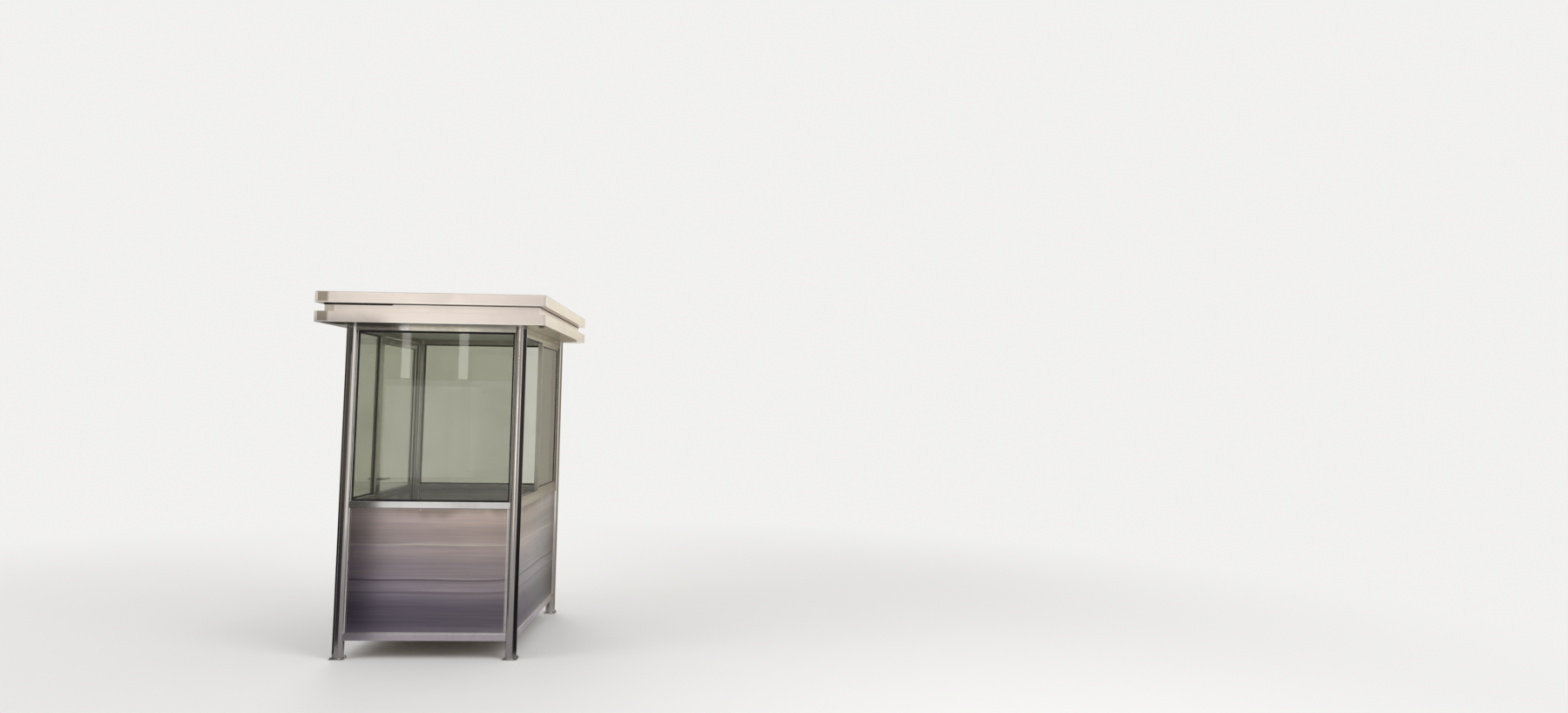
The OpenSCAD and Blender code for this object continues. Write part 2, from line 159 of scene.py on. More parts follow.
world = bpy.data.worlds.new("studio_air")
scene.world = world
world.use_nodes = True
air = world.node_tree
air.nodes.clear()
path = air.nodes.new("ShaderNodeLightPath")
seen = reckon(air, "MAXIMUM", path.outputs["Is Camera Ray"], path.outputs["Is Glossy Ray"])
seen = reckon(air, "MAXIMUM", seen, path.outputs["Is Transmission Ray"])
soft_light = light_of(air, "Background", (1, 1, 1), 0.74)
shown = blended(air, seen, soft_light, light_of(air, "Background", pale))
air.links.new(shown, air.nodes.new("ShaderNodeOutputWorld").inputs["Surface"])

bm = bmesh.new()
bmesh.ops.create_circle(bm, cap_ends=True, segments=96, radius=floor_r)
tree = stand_up("studio_floor", bm)[1]
paint = tree.nodes["Principled BSDF"]
paint.inputs["Base Color"].default_value = (0.80, 0.795, 0.78, 1)
paint.inputs["Roughness"].default_value = 0.7
paint.inputs["Specular IOR Level"].default_value = 0.2
off_middle = reckon(tree, "LENGTH", spot_of(tree), kind="VectorMath")
fade = ramp(tree, off_middle, fade_from, fade_to)
shown = blended(tree, fade, paint.outputs["BSDF"], light_of(tree, "Emission", pale))
tree.links.new(shown, tree.nodes["Material Output"].inputs["Surface"])

lamp_aim = Vector((0, 0, 1.2))
for name, spot, size, watts in (
    ("lamp_right", (5.5, -4.5, 5.0), 4, 200),
    ("lamp_left", (-6.0, -3.5, 4.5), 4, 95),
    ("lamp_back", (-2.2, 7.2, 5.2), 4, 140),
):
    lamp_data = bpy.data.lights.new(name, "AREA")
    lamp_data.shape = "DISK"
    lamp_data.size = size
    lamp_data.energy = watts
    lamp = bpy.data.objects.new(name, lamp_data)
    lamp.location = spot
    lamp.rotation_euler = (lamp_aim - Vector(spot)).to_track_quat("-Z", "Y").to_euler()
    scene.collection.objects.link(lamp)

# Flags: boards that only reflections see, each swept round a foot with a soft
# edge; the low ones fade out upwards too. They give the polished steel its dark
# and light bands and the front pane its bars, as in a studio for metal and glass.
column_axes = {}
for corner in ("front_left", "front_right", "back_left", "back_right"):
    low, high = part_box("column_" + corner)
    column_axes[corner] = Vector(((low.x + high.x) / 2, (low.y + high.y) / 2, 0))
by_front_left, by_front_right, by_back_left, by_back_right = column_axes.values()
middle_of_booth = Vector((0, 0, 0))
near_front, near_side = ((0.5, 0.01), (0.5, 2.215)), ((0.15, 0.01), (0.15, 2.198))
low_front, low_side = ((0.44, 0.01), (0.44, 1.2)), ((0.13, 0.01), (0.13, 1.2))
soft_from, soft_to = 0.65, 1.2


def parts_of(tree, spot):
    """A spot's x, y and z"""
    parts = tree.nodes.new("ShaderNodeSeparateXYZ")
    tree.links.new(spot, parts.inputs[0])
    return parts.outputs


for name, foot, first, last, edge, profile, tone, strength in (
    ("flag_ground", middle_of_booth, 190, 530, 0.16, ((0.7, 0.004), (2.0, 0.004), (3.4, 0.004)),
     (0.305, 0.285, 0.30), 1),
    ("flag_ground_far", middle_of_booth, 190, 530, 0.16, ((3.4, 0.004), (7.5, 0.004)),
     (0.40, 0.375, 0.38), 1),
    ("flag_left_side", by_front_left, -150, -56, 0.10, near_side, (0.05, 0.046, 0.035), 1),
    ("flag_left_front", by_front_left, -62, 11, 0.06, near_front, (0.07, 0.065, 0.055), 1),
    ("flag_right_side", by_front_right, 34, 146, 0.10, near_side, (0.035, 0.03, 0.03), 1),
    ("flag_low_left_side", by_front_left, -150, -56, 0.10, low_side, (0.014, 0.012, 0.014), 1),
    ("flag_low_left_front", by_front_left, -62, 14, 0.06, low_front, (0.03, 0.025, 0.033), 1),
    ("flag_low_right_side", by_front_right, 30, 146, 0.10, low_side, (0.014, 0.012, 0.014), 1),
    ("flag_head_left", by_front_left, -30, 23, 0.05, ((0.5, 2.02), (0.5, 2.225)),
     (0.012, 0.010, 0.006), 1),
    ("card_dusk", middle_of_booth, 334, 357, 0.10, ((9.2, 2.0), (9.2, 2.70)),
     (0.26, 0.26, 0.16), 1),
    ("flag_back_right", by_back_right, 70, 205, 0.12, near_side, (0.30, 0.26, 0.20), 1),
    ("flag_back_left", by_back_left, 190, 300, 0.12, near_side, (0.12, 0.12, 0.11), 1),
    ("card_mid_left", middle_of_booth, 262, 339, 0.10, ((7.5, 0.004), (7.5, 4.5)),
     (0.38, 0.33, 0.30), 1),
    ("card_mid_right", middle_of_booth, 356, 392, 0.12, ((7.5, 0.004), (7.5, 4.5)),
     (0.38, 0.33, 0.30), 1),
    ("card_far_right", middle_of_booth, 148, 180, 0.12, ((6.5, 0.004), (8.0, 1.0), (8.0, 2.62)),
     (0.42, 0.38, 0.28), 1),
    ("card_high_right", middle_of_booth, 148, 184, 0.12, ((8.0, 2.62), (8.0, 4.6)),
     (0.95, 0.93, 0.76), 1),
    ("flag_far_left", middle_of_booth, 199, 240, 0.12, ((6.5, 0.004), (8.0, 2.2)),
     (0.10, 0.10, 0.10), 1),
    ("card_above", middle_of_booth, 0, 360, 0.16, ((0.1, 6.0), (2.0, 6.0)), (1.0, 0.99, 0.96), 2),
    ("strip_left", middle_of_booth, 343.6, 344.5, 0.16, ((8.3, 2.0), (8.3, 4.5)),
     (1.0, 0.98, 0.90), 4),
    ("strip_right", middle_of_booth, 348.6, 349.6, 0.16, ((8.3, 2.0), (8.3, 4.5)),
     (1.0, 0.98, 0.90), 4),
    ("card_low", middle_of_booth, 337, 352, 0.16, ((8.3, 0.7), (8.3, 1.9)), (0.95, 0.97, 0.92), 1.8),
):
    first, last = math.radians(first - 90), math.radians(last - 90)
    bm = bmesh.new()
    line = [bm.verts.new((out, 0, up)) for out, up in profile]
    edges = [bm.edges.new(pair) for pair in zip(line, line[1:])]
    bmesh.ops.rotate(bm, verts=line, cent=(0, 0, 0), matrix=Matrix.Rotation(first, 3, "Z"))
    bmesh.ops.spin(
        bm, geom=line + edges, cent=(0, 0, 0), axis=(0, 0, 1), angle=last - first, steps=24
    )
    bmesh.ops.translate(bm, vec=foot, verts=bm.verts)
    board, tree = stand_up(name, bm)
    board.visible_camera = board.visible_diffuse = board.visible_transmission = False
    board.visible_shadow = False
    tree.nodes.remove(tree.nodes["Principled BSDF"])
    spot = spot_of(tree)
    centred = tree.nodes.new("ShaderNodeMapping")
    centred.inputs["Rotation"].default_value = (0, 0, -(first + last) / 2)
    from_foot = reckon(tree, "SUBTRACT", spot, foot, kind="VectorMath")
    tree.links.new(from_foot, centred.inputs["Vector"])
    bearing = tree.nodes.new("ShaderNodeTexGradient")
    bearing.gradient_type = "RADIAL"
    tree.links.new(centred.outputs["Vector"], bearing.inputs["Vector"])
    off_middle = reckon(tree, "ABSOLUTE", reckon(tree, "SUBTRACT", bearing.outputs["Fac"], 0.5))
    half = (last - first) / 2 / (2 * math.pi)
    see_through = ramp(tree, off_middle, half * (1 - 2 * edge), half)
    if profile in (low_front, low_side):
        thinner = ramp(tree, parts_of(tree, spot)["Z"], soft_from, soft_to, shape="LINEAR")
        see_through = reckon(tree, "MAXIMUM", see_through, thinner)
    clear = tree.nodes.new("ShaderNodeBsdfTransparent").outputs[0]
    shown = blended(tree, see_through, light_of(tree, "Emission", tone, strength), clear)
    tree.links.new(shown, tree.nodes["Material Output"].inputs["Surface"])

# Columns: stainless tubes, polished along their length, each welded all round on
# a flat foot plate that four anchor bolts with washers hold to the ground.


def effect_group(name, inputs, outputs):
    """A shader node group with named inputs and outputs, and its two end nodes"""
    group = bpy.data.node_groups.new(name, "ShaderNodeTree")
    for label, kind, value in inputs:
        socket = group.interface.new_socket(label, in_out="INPUT", socket_type=kind)
        if value is not None:
            socket.default_value = value
    for label, kind in outputs:
        group.interface.new_socket(label, in_out="OUTPUT", socket_type=kind)
    return group, group.nodes.new("NodeGroupInput"), group.nodes.new("NodeGroupOutput")


brush_marks, ends_in, ends_out = effect_group(
    "brush_marks",
    [("Vector", "NodeSocketVector", None), ("Fineness", "NodeSocketVector", (300, 300, 6))],
    [("Marks", "NodeSocketFloat"), ("Drift", "NodeSocketFloat")],
)


def noise(tree, vector, scale, detail, roughness=0.5, distortion=0.0):
    """A Noise Texture node's output"""
    cloud = tree.nodes.new("ShaderNodeTexNoise")
    tree.links.new(vector, cloud.inputs["Vector"])
    for label, value in (
        ("Scale", scale), ("Detail", detail), ("Roughness", roughness), ("Distortion", distortion),
    ):
        cloud.inputs[label].default_value = value
    return cloud.outputs["Fac"]


stretched = reckon(
    brush_marks, "MULTIPLY", ends_in.outputs["Vector"], ends_in.outputs["Fineness"],
    kind="VectorMath",
)
marks = noise(brush_marks, stretched, 1, 3, roughness=0.65)
brush_marks.links.new(marks, ends_out.inputs["Marks"])
brush_marks.links.new(noise(brush_marks, stretched, 0.07, 2), ends_out.inputs["Drift"])

smudges, ends_in, ends_out = effect_group(
    "smudges",
    [("Vector", "NodeSocketVector", None), ("Size", "NodeSocketFloat", 0.2)],
    [("Mask", "NodeSocketFloat")],
)
scaled = reckon(
    smudges, "DIVIDE", ends_in.outputs["Vector"], ends_in.outputs["Size"], kind="VectorMath"
)
cloud = noise(smudges, scaled, 1, 5, distortion=0.5)
smudges.links.new(ramp(smudges, cloud, 0.42, 0.70), ends_out.inputs["Mask"])

splash_dirt, ends_in, ends_out = effect_group(
    "splash_dirt",
    [("Vector", "NodeSocketVector", None), ("Height", "NodeSocketFloat", 0.25)],
    [("Mask", "NodeSocketFloat")],
)
height = parts_of(splash_dirt, ends_in.outputs["Vector"])["Z"]
drop = ramp(splash_dirt, height, 0, ends_in.outputs["Height"], 1, 0, shape="LINEAR")
patches = noise(splash_dirt, ends_in.outputs["Vector"], 26, 6)
splash_dirt.links.new(reckon(splash_dirt, "MULTIPLY", drop, patches), ends_out.inputs["Mask"])


def placed_group(tree, group, vector, **values):
    """A node group placed in a material, with its own values"""
    box = tree.nodes.new("ShaderNodeGroup")
    box.node_tree = group
    tree.links.new(vector, box.inputs["Vector"])
    for label, value in values.items():
        box.inputs[label].default_value = value
    return box


def mixed(tree, factor, low, high, kind="RGBA", blend="MIX"):
    """A Mix node's output: low and high are colours, numbers or sockets of that kind"""
    mix = tree.nodes.new("ShaderNodeMix")
    mix.data_type = kind
    mix.blend_type = blend
    feed(tree, factor, mix.inputs[0])
    low_in, high_in, out = {"RGBA": (6, 7, 2), "FLOAT": (2, 3, 0)}[kind]
    for term, place_in in ((low, low_in), (high, high_in)):
        feed(tree, (*term, 1) if isinstance(term, tuple) else term, mix.inputs[place_in])
    return mix.outputs[out]


def share(tree, mask, part):
    """A mask made weaker"""
    return reckon(tree, "MULTIPLY", mask, part)


def finish_off(tree, tone, gloss, height, relief):
    """Gives a material its colour and roughness, and its relief by way of a bump"""
    body = tree.nodes["Principled BSDF"]
    bump = tree.nodes.new("ShaderNodeBump")
    bump.inputs["Distance"].default_value = relief
    tree.links.new(height, bump.inputs["Height"])
    tree.links.new(tone, body.inputs["Base Color"])
    tree.links.new(gloss, body.inputs["Roughness"])
    tree.links.new(bump.outputs["Normal"], body.inputs["Normal"])


def steel(name, bright, dull, rough, fineness, smudge=0.12, relief=0.00004, dirt=0.0):
    """Bare stainless steel: two tones and two roughnesses, mixed by the brush marks"""
    finish, tree = new_finish(name)
    tree.nodes["Principled BSDF"].inputs["Metallic"].default_value = 1
    spot = spot_of(tree)
    brushed = placed_group(tree, brush_marks, spot, Fineness=fineness)
    hands = placed_group(tree, smudges, spot, Size=0.22)
    splash = placed_group(tree, splash_dirt, spot, Height=0.30)
    marks = brushed.outputs["Marks"]
    touched = share(tree, hands.outputs["Mask"], smudge)
    dirtied = share(tree, splash.outputs["Mask"], dirt)
    tone = mixed(tree, brushed.outputs["Drift"], dull, bright)
    tone = mixed(tree, share(tree, marks, 0.5), tone, mixed(tree, marks, dull, bright))
    tone = mixed(tree, touched, tone, (0.30, 0.28, 0.26))
    tone = mixed(tree, dirtied, tone, (0.20, 0.18, 0.15))
    gloss = mixed(tree, marks, rough[0], rough[1], "FLOAT")
    gloss = mixed(tree, touched, gloss, 0.55, "FLOAT")
    gloss = mixed(tree, dirtied, gloss, 0.8, "FLOAT")
    finish_off(tree, tone, gloss, marks, relief)
    return finish


def put_up(name, bm, finishes, body, slot, *stands_for, sharp=32):
    """Makes a finished bmesh a piece that rides on a body, and hides what it stands for"""
    limit = math.radians(sharp)
    for edge in bm.edges:
        edge.smooth = len(edge.link_faces) == 2 and edge.calc_face_angle(0) < limit
    for face in bm.faces:
        face.smooth = True
    mesh = bpy.data.meshes.new(name)
    bm.to_mesh(mesh)
    bm.free()
    for finish in finishes:
        mesh.materials.append(finish)
    piece = bpy.data.objects.new(name, mesh)
    scene.collection.objects.link(piece)
    even = piece.modifiers.new("even_shading", "WEIGHTED_NORMAL")
    even.keep_sharp = True
    even.weight = 80
    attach(piece, body)
    if stands_for:
        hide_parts(*stands_for)
    return piece


def one_each(things):
    """The things without repeats, in the order that they came in"""
    return list(dict.fromkeys(things))


def block(bm, size, middle, ease=0.0, segments=2, upright_only=False):
    """A box with eased edges, added to a bmesh; returns its vertices"""
    made = bmesh.ops.create_cube(bm, size=1)["verts"]
    bmesh.ops.scale(bm, vec=size, verts=made)
    bmesh.ops.translate(bm, vec=middle, verts=made)
    if not ease:
        return made
    edges = one_each(edge for vert in made for edge in vert.link_edges)
    if upright_only:
        edges = [e for e in edges if abs(e.verts[0].co.z - e.verts[1].co.z) > 1e-6]
    eased = bmesh.ops.bevel(
        bm, geom=edges, offset=ease, offset_type="OFFSET", segments=segments,
        profile=0.5, affect="EDGES", material=-1,
    )
    return one_each([vert for vert in made if vert.is_valid] + eased["verts"])


def rod(bm, radius, length, middle, sides=24, axis="Z", far_radius=None):
    """A round bar about its middle, added to a bmesh; returns its vertices"""
    lie = {"Z": Matrix.Identity(4), "X": Matrix.Rotation(math.pi / 2, 4, "Y"),
           "Y": Matrix.Rotation(math.pi / 2, 4, "X")}[axis]
    return bmesh.ops.create_cone(
        bm, cap_ends=True, segments=sides, radius1=radius, depth=length,
        radius2=radius if far_radius is None else far_radius,
        matrix=Matrix.Translation(middle) @ lie,
    )["verts"]


tube_r = 0.038
plate_w, plate_t, plate_corner = 0.094, 0.006, 0.008
foot_bead, bead_out = 0.003, 0.3
bolt_out, washer_r, washer_t = 0.0365, 0.0075, 0.0014
nut_flats, nut_h, nut_chamfer, nut_chamfer_h = 0.010, 0.005, 0.001, 0.0006
stud_r, stud_h = 0.003, 0.011

polished_tube = steel(
    "polished_tube", (0.80, 0.78, 0.75), (0.62, 0.60, 0.58), (0.07, 0.16), (420, 420, 5),
    smudge=0.10, relief=0.00002, dirt=0.5,
)
weld_metal = steel(
    "weld_metal", (0.66, 0.63, 0.60), (0.40, 0.38, 0.36), (0.22, 0.42), (500, 500, 500),
    relief=0.0003, dirt=0.3,
)
bolt_steel = steel(
    "bolt_steel", (0.62, 0.60, 0.57), (0.42, 0.40, 0.38), (0.25, 0.45), (700, 700, 700),
    relief=0.0001, dirt=0.9,
)
for corner, axis in column_axes.items():
    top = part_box("column_" + corner)[1].z
    bm = bmesh.new()
    rod(bm, tube_r, top - plate_t, (axis.x, axis.y, (top + plate_t) / 2), sides=128)
    block(bm, (plate_w, plate_w, plate_t), (axis.x, axis.y, plate_t / 2),
          ease=plate_corner, segments=6, upright_only=True)
    put_up("column_%s_tube" % corner, bm, [polished_tube], "booth", "column_steel",
           "column_" + corner)

    bm = bmesh.new()
    off = foot_bead * bead_out
    circle = bmesh.ops.create_circle(
        bm, segments=10, radius=foot_bead,
        matrix=Matrix.Translation((axis.x + tube_r + off, axis.y, plate_t + off))
        @ Matrix.Rotation(math.pi / 2, 4, "X"),
    )["verts"]
    ring = circle + one_each(edge for vert in circle for edge in vert.link_edges)
    bmesh.ops.spin(
        bm, geom=ring, cent=(axis.x, axis.y, 0), axis=(0, 0, 1), angle=2 * math.pi,
        steps=72, use_merge=True,
    )
    bmesh.ops.remove_doubles(bm, verts=bm.verts, dist=1e-6)
    bmesh.ops.recalc_face_normals(bm, faces=bm.faces)
    put_up("column_%s_weld" % corner, bm, [weld_metal], "booth", "column_steel")

    bm = bmesh.new()
    for across in (-bolt_out, bolt_out):
        for along in (-bolt_out, bolt_out):
            x, y = axis.x + across, axis.y + along
            rod(bm, washer_r, washer_t, (x, y, plate_t + washer_t / 2), sides=28)
            base = plate_t + washer_t
            rod(bm, nut_flats / math.sqrt(3), nut_h, (x, y, base + nut_h / 2), sides=6)
            rod(bm, nut_flats / 2, nut_chamfer_h, (x, y, base + nut_h + nut_chamfer_h / 2),
                far_radius=nut_flats / 2 - nut_chamfer)
            rod(bm, stud_r, stud_h, (x, y, base + stud_h / 2), sides=18)
    put_up("column_%s_bolts" % corner, bm, [bolt_steel], "booth", "hardware")


# Base: four satin tubes, coped to the columns and welded all round them, with
# plain primed joists between the side tubes, under the floor.


def copy_of(node):
    """A CAD node's mesh with its loose triangles joined and its flat faces whole"""
    bm = bmesh.new()
    bm.from_mesh(nodes[node].data)
    bmesh.ops.remove_doubles(bm, verts=bm.verts, dist=1e-6)
    bmesh.ops.dissolve_limit(
        bm, angle_limit=math.radians(0.3), use_dissolve_boundaries=False,
        verts=bm.verts, edges=bm.edges,
    )
    return bm


def weld_round(bm, axis, toward, width, height, foot, bead=0.0022, corner=0.003, pitch=0.006):
    """Adds a weld where a tube's end meets a column: toward points along the tube"""
    sideways = Vector((-toward.y, toward.x, 0))
    half_w, half_h = width / 2 - corner, height / 2 - corner
    spots = []
    for quarter, (side, up) in enumerate(((1, 1), (-1, 1), (-1, -1), (1, -1))):
        for step in range(5):
            angle = math.radians(90 * quarter + 22.5 * step)
            off = side * half_w + corner * math.cos(angle)
            rise = up * half_h + corner * math.sin(angle)
            spots.append(
                axis + sideways * off + toward * math.sqrt(tube_r ** 2 - off ** 2)
                + Vector((0, 0, foot + height / 2 + rise))
            )
    across = [spots[-1]] + spots
    ring = []
    for start, end in zip(across, across[1:]):
        pieces = max(1, round((end - start).length / pitch))
        for step in range(1, pieces + 1):
            spot = start.lerp(end, step / pieces)
            off = (spot - axis).dot(sideways)
            flat = axis + sideways * off + toward * math.sqrt(tube_r ** 2 - off ** 2)
            ring.append(Vector((flat.x, flat.y, spot.z)))
    curve = bpy.data.curves.new("weld_line", "CURVE")
    curve.dimensions = "3D"
    curve.bevel_depth = bead
    curve.bevel_resolution = 1
    line = curve.splines.new("POLY")
    line.points.add(len(ring) - 1)
    for point, spot in zip(line.points, ring):
        point.co = (*spot, 1)
    line.use_cyclic_u = True
    holder = bpy.data.objects.new("weld_line", curve)
    bead_mesh = bpy.data.meshes.new_from_object(holder)
    bm.from_mesh(bead_mesh)
    bpy.data.objects.remove(holder)
    bpy.data.curves.remove(curve)
    bpy.data.meshes.remove(bead_mesh)


runs = {
    "front": ("front_left", "front_right"), "back": ("back_right", "back_left"),
    "right": ("front_right", "back_right"), "left": ("back_left", "front_left"),
}
rail_width = 0.044


def weld_run(bm, side, foot, height, ends=(True, True)):
    """Welds the tube on a side of the booth to the columns at its two ends"""
    first, last = (column_axes[corner] for corner in runs[side])
    toward = (last - first).normalized()
    if ends[0]:
        weld_round(bm, first, toward, rail_width, height, foot)
    if ends[1]:
        weld_round(bm, last, -toward, rail_width, height, foot)


satin_tube = steel(
    "satin_tube", (0.80, 0.785, 0.79), (0.63, 0.61, 0.61), (0.16, 0.30), (7, 7, 420),
    smudge=0.12, relief=0.00003,
)
# The base's tubes take a brighter, bluer copy of the satin tube's steel: painted reflected light on
# the rails, with real dirt near the ground.
lit_base_tube = steel(
    "lit_base_tube", (0.98, 0.93, 1.0), (0.82, 0.77, 0.84), (0.18, 0.30), (7, 7, 420),
    smudge=0.15, relief=0.00003, dirt=0.6,
)
low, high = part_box("base_rails")
base_foot, floor_top = low.z, high.z
put_up("base_tubes", copy_of("base_rails"), [lit_base_tube], "booth", "rail_steel", "base_rails",
       sharp=25)
bm = bmesh.new()
for side in runs:
    weld_run(bm, side, base_foot, floor_top - base_foot)
put_up("base_welds", bm, [weld_metal], "booth", "rail_steel")


def coat(name, one, other, rough, size, grain=0.0, relief=0.0, dirt=0.0, speck=None,
         shine=0.5):
    """Paint, rubber, vinyl or board: two close tones in soft patches, with a fine grain"""
    finish, tree = new_finish(name)
    tree.nodes["Principled BSDF"].inputs["Specular IOR Level"].default_value = shine
    spot = spot_of(tree)
    patches = placed_group(tree, smudges, spot, Size=size).outputs["Mask"]
    splash = placed_group(tree, splash_dirt, spot, Height=0.32)
    dirtied = share(tree, splash.outputs["Mask"], dirt)
    grains = noise(tree, spot, 900, 2)
    tone = mixed(tree, patches, one, other)
    if speck:
        tone = mixed(tree, share(tree, grains, grain), tone, speck)
    tone = mixed(tree, dirtied, tone, (0.24, 0.21, 0.18))
    gloss = mixed(tree, patches, rough[0], rough[1], "FLOAT")
    gloss = mixed(tree, dirtied, gloss, 0.85, "FLOAT")
    finish_off(tree, tone, gloss, grains, relief)
    return finish


primer = coat(
    "grey_primer", (0.24, 0.24, 0.25), (0.31, 0.31, 0.31), (0.45, 0.6), 0.15,
    relief=0.0001, dirt=0.6,
)
put_up("joist_tubes", copy_of("floor_joists"), [primer], "booth", "inner_steel",
       "floor_joists", sharp=25)

# Floor: a wood board laid on the joists and cut round the columns, with grey
# speckled vinyl glued on top. Its edges and its underside are bare.
board_under = coat(
    "floor_board_edge", (0.40, 0.31, 0.20), (0.33, 0.25, 0.16), (0.6, 0.75), 0.1,
    relief=0.0002, dirt=0.5,
)
vinyl = coat(
    "grey_vinyl", (0.27, 0.27, 0.28), (0.34, 0.34, 0.34), (0.38, 0.58), 0.35,
    grain=0.5, relief=0.00012, speck=(0.62, 0.62, 0.60),
)
bm = copy_of("floor_plate")
top = max(vert.co.z for vert in bm.verts)
for face in bm.faces:
    on_top = all(abs(vert.co.z - top) < 1e-5 for vert in face.verts)
    face.material_index = 1 if on_top else 0
put_up("floor_board", bm, [board_under, vinyl], "booth", "floor_covering", "floor_plate",
       sharp=25)

# Lower walls: a foam core between two brushed stainless skins, held in a folded
# channel on each upright edge and on the base rail. The thin skins are a little
# wavy, with three long creases, and are riveted along their top edge.
across_x = column_axes["front_right"].x
across_y = column_axes["back_right"].y
side_place = {
    "front": Matrix.Translation((0, -across_y, 0)),
    "back": Matrix.Translation((0, across_y, 0)) @ Matrix.Rotation(math.pi, 4, "Z"),
    "right": Matrix.Translation((across_x, 0, 0)) @ Matrix.Rotation(math.pi / 2, 4, "Z"),
    "left": Matrix.Translation((-across_x, 0, 0)) @ Matrix.Rotation(-math.pi / 2, 4, "Z"),
}
channel_face, channel_proud, base_channel, channel_ease = 0.011, 0.0015, 0.006, 0.0011
sheet_lap, rivet_r, rivet_drop = 0.002, 0.0045, 0.012
creases = ((0.747, 0.0010, 0.010), (0.518, -0.0011, 0.009), (0.437, -0.0006, 0.012))
wobbles = ((0.0070, 3.1, 0.9), (0.0035, 7.7, 2.1))
swing_rate, calm_back, calm_front = 2.4, 0.2, -0.7
shade_under_sill_top, shade_under_sill_drop, shade_under_sill_thick, shade_under_sill_gone = 1.028, 0.135, 0.024, -0.045
sheet_slack, flat_rim = 0.0008, 0.03


def side_box(node, side):
    """A node's box as its side sees it: x along the wall, y through it"""
    back = side_place[side].inverted()
    corners = [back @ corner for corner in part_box(node)]
    low = Vector([min(pair) for pair in zip(*corners)])
    high = Vector([max(pair) for pair in zip(*corners)])
    return low, high


def screw_head(bm, radius, place):
    """A low screw head with a recess, its top along the place's z axis"""
    made = bmesh.ops.create_cone(
        bm, cap_ends=True, segments=16, radius1=radius, radius2=radius * 0.78,
        depth=radius * 0.5, matrix=place @ Matrix.Translation((0, 0, radius * 0.25)),
    )["verts"]
    outward = (place.to_3x3() @ Vector((0, 0, 1))).normalized()
    faces = one_each(face for vert in made for face in vert.link_faces)
    caps = [face for face in faces if len(face.verts) == 16]
    top = max(caps, key=lambda face: face.calc_center_median().dot(outward))
    bmesh.ops.inset_region(bm, faces=[top], thickness=radius * 0.42)
    bmesh.ops.inset_region(bm, faces=[top], thickness=radius * 0.04, depth=-radius * 0.3)


panel_sheet = steel(
    "panel_sheet", (0.42, 0.385, 0.37), (0.34, 0.31, 0.30), (0.33, 0.45), (5, 5, 380),
    smudge=0.18, relief=0.00004, dirt=0.5,
)


def opened(finish):
    """A steel's node tree, the spot it reads, the spot's parts, and its colour's input and tone"""
    tree = finish.node_tree
    spot = next(n for n in tree.nodes if n.type == "TEX_COORD").outputs["Object"]
    colour = tree.nodes["Principled BSDF"].inputs["Base Color"]
    return tree, spot, parts_of(tree, spot), colour, colour.links[0].from_socket


tree, spot, parts, colour, tone = opened(panel_sheet)
along = reckon(tree, "ADD", parts["X"], parts["Y"])
level = parts["Z"]
for size, rate, shift in wobbles:
    wave = reckon(tree, "SINE", reckon(tree, "ADD", reckon(tree, "MULTIPLY", along, rate), shift))
    level = reckon(tree, "SUBTRACT", level, reckon(tree, "MULTIPLY", wave, size))

# Painted shade and painted reflection by height: the skin is made lighter and darker in bands up the
# wall, darkest and bluest in its lower third.
painted_height_shading = tree.nodes.new("ShaderNodeValToRGB")
painted_height_shading.color_ramp.interpolation = "EASE"
while len(painted_height_shading.color_ramp.elements) < 8:
    painted_height_shading.color_ramp.elements.new(0.5)
for stop, (height, shade, red, blue) in zip(painted_height_shading.color_ramp.elements, (
    (0.17, 0.84, 1.00, 1.22), (0.24, 0.54, 0.99, 1.30), (0.33, 0.54, 1.00, 1.29),
    (0.47, 1.06, 1.01, 1.17), (0.60, 1.04, 1.02, 1.11), (0.72, 1.34, 1.04, 1.03),
    (0.83, 1.22, 1.06, 0.99), (0.93, 1.52, 1.07, 0.98),
)):
    stop.position = height
    stop.color = (shade * red, shade, shade * blue, 1)
tree.links.new(level, painted_height_shading.inputs["Fac"])
# Painted shade along each wall: a slow swing makes part of each wall darker and bluer and the rest
# lighter and warmer.
shade_swing = reckon(tree, "MULTIPLY", reckon(tree, "ADD", along, across_y), swing_rate)
shade_swing = reckon(tree, "SINE", shade_swing)
sideways = mixed(tree, ramp(tree, shade_swing, -1.0, 1.0), (1.02, 1.00, 1.06), (1.10, 1.08, 1.04))
streaks = placed_group(tree, brush_marks, spot, Fineness=(1.3, 1.3, 62)).outputs["Marks"]
streaked = mixed(tree, ramp(tree, streaks, 0.36, 0.64), (0.93, 0.92, 0.95), (1.06, 1.05, 1.03))
for other in (painted_height_shading.outputs["Color"], sideways, streaked):
    tone = mixed(tree, 1, tone, other, blend="MULTIPLY")
# Painted highlight along the top crease, and painted shade along the two lower creases.
for (height, _, spread), tint, part in zip(
    creases, ((0.80, 0.73, 0.66), (0.10, 0.09, 0.09), (0.15, 0.13, 0.16)), (0.55, 0.75, 0.45)
):
    gap = reckon(tree, "ABSOLUTE", reckon(tree, "SUBTRACT", level, height))
    line = ramp(tree, gap, 0.0, spread, part, 0.0)
    tone = mixed(tree, line, tone, tint)
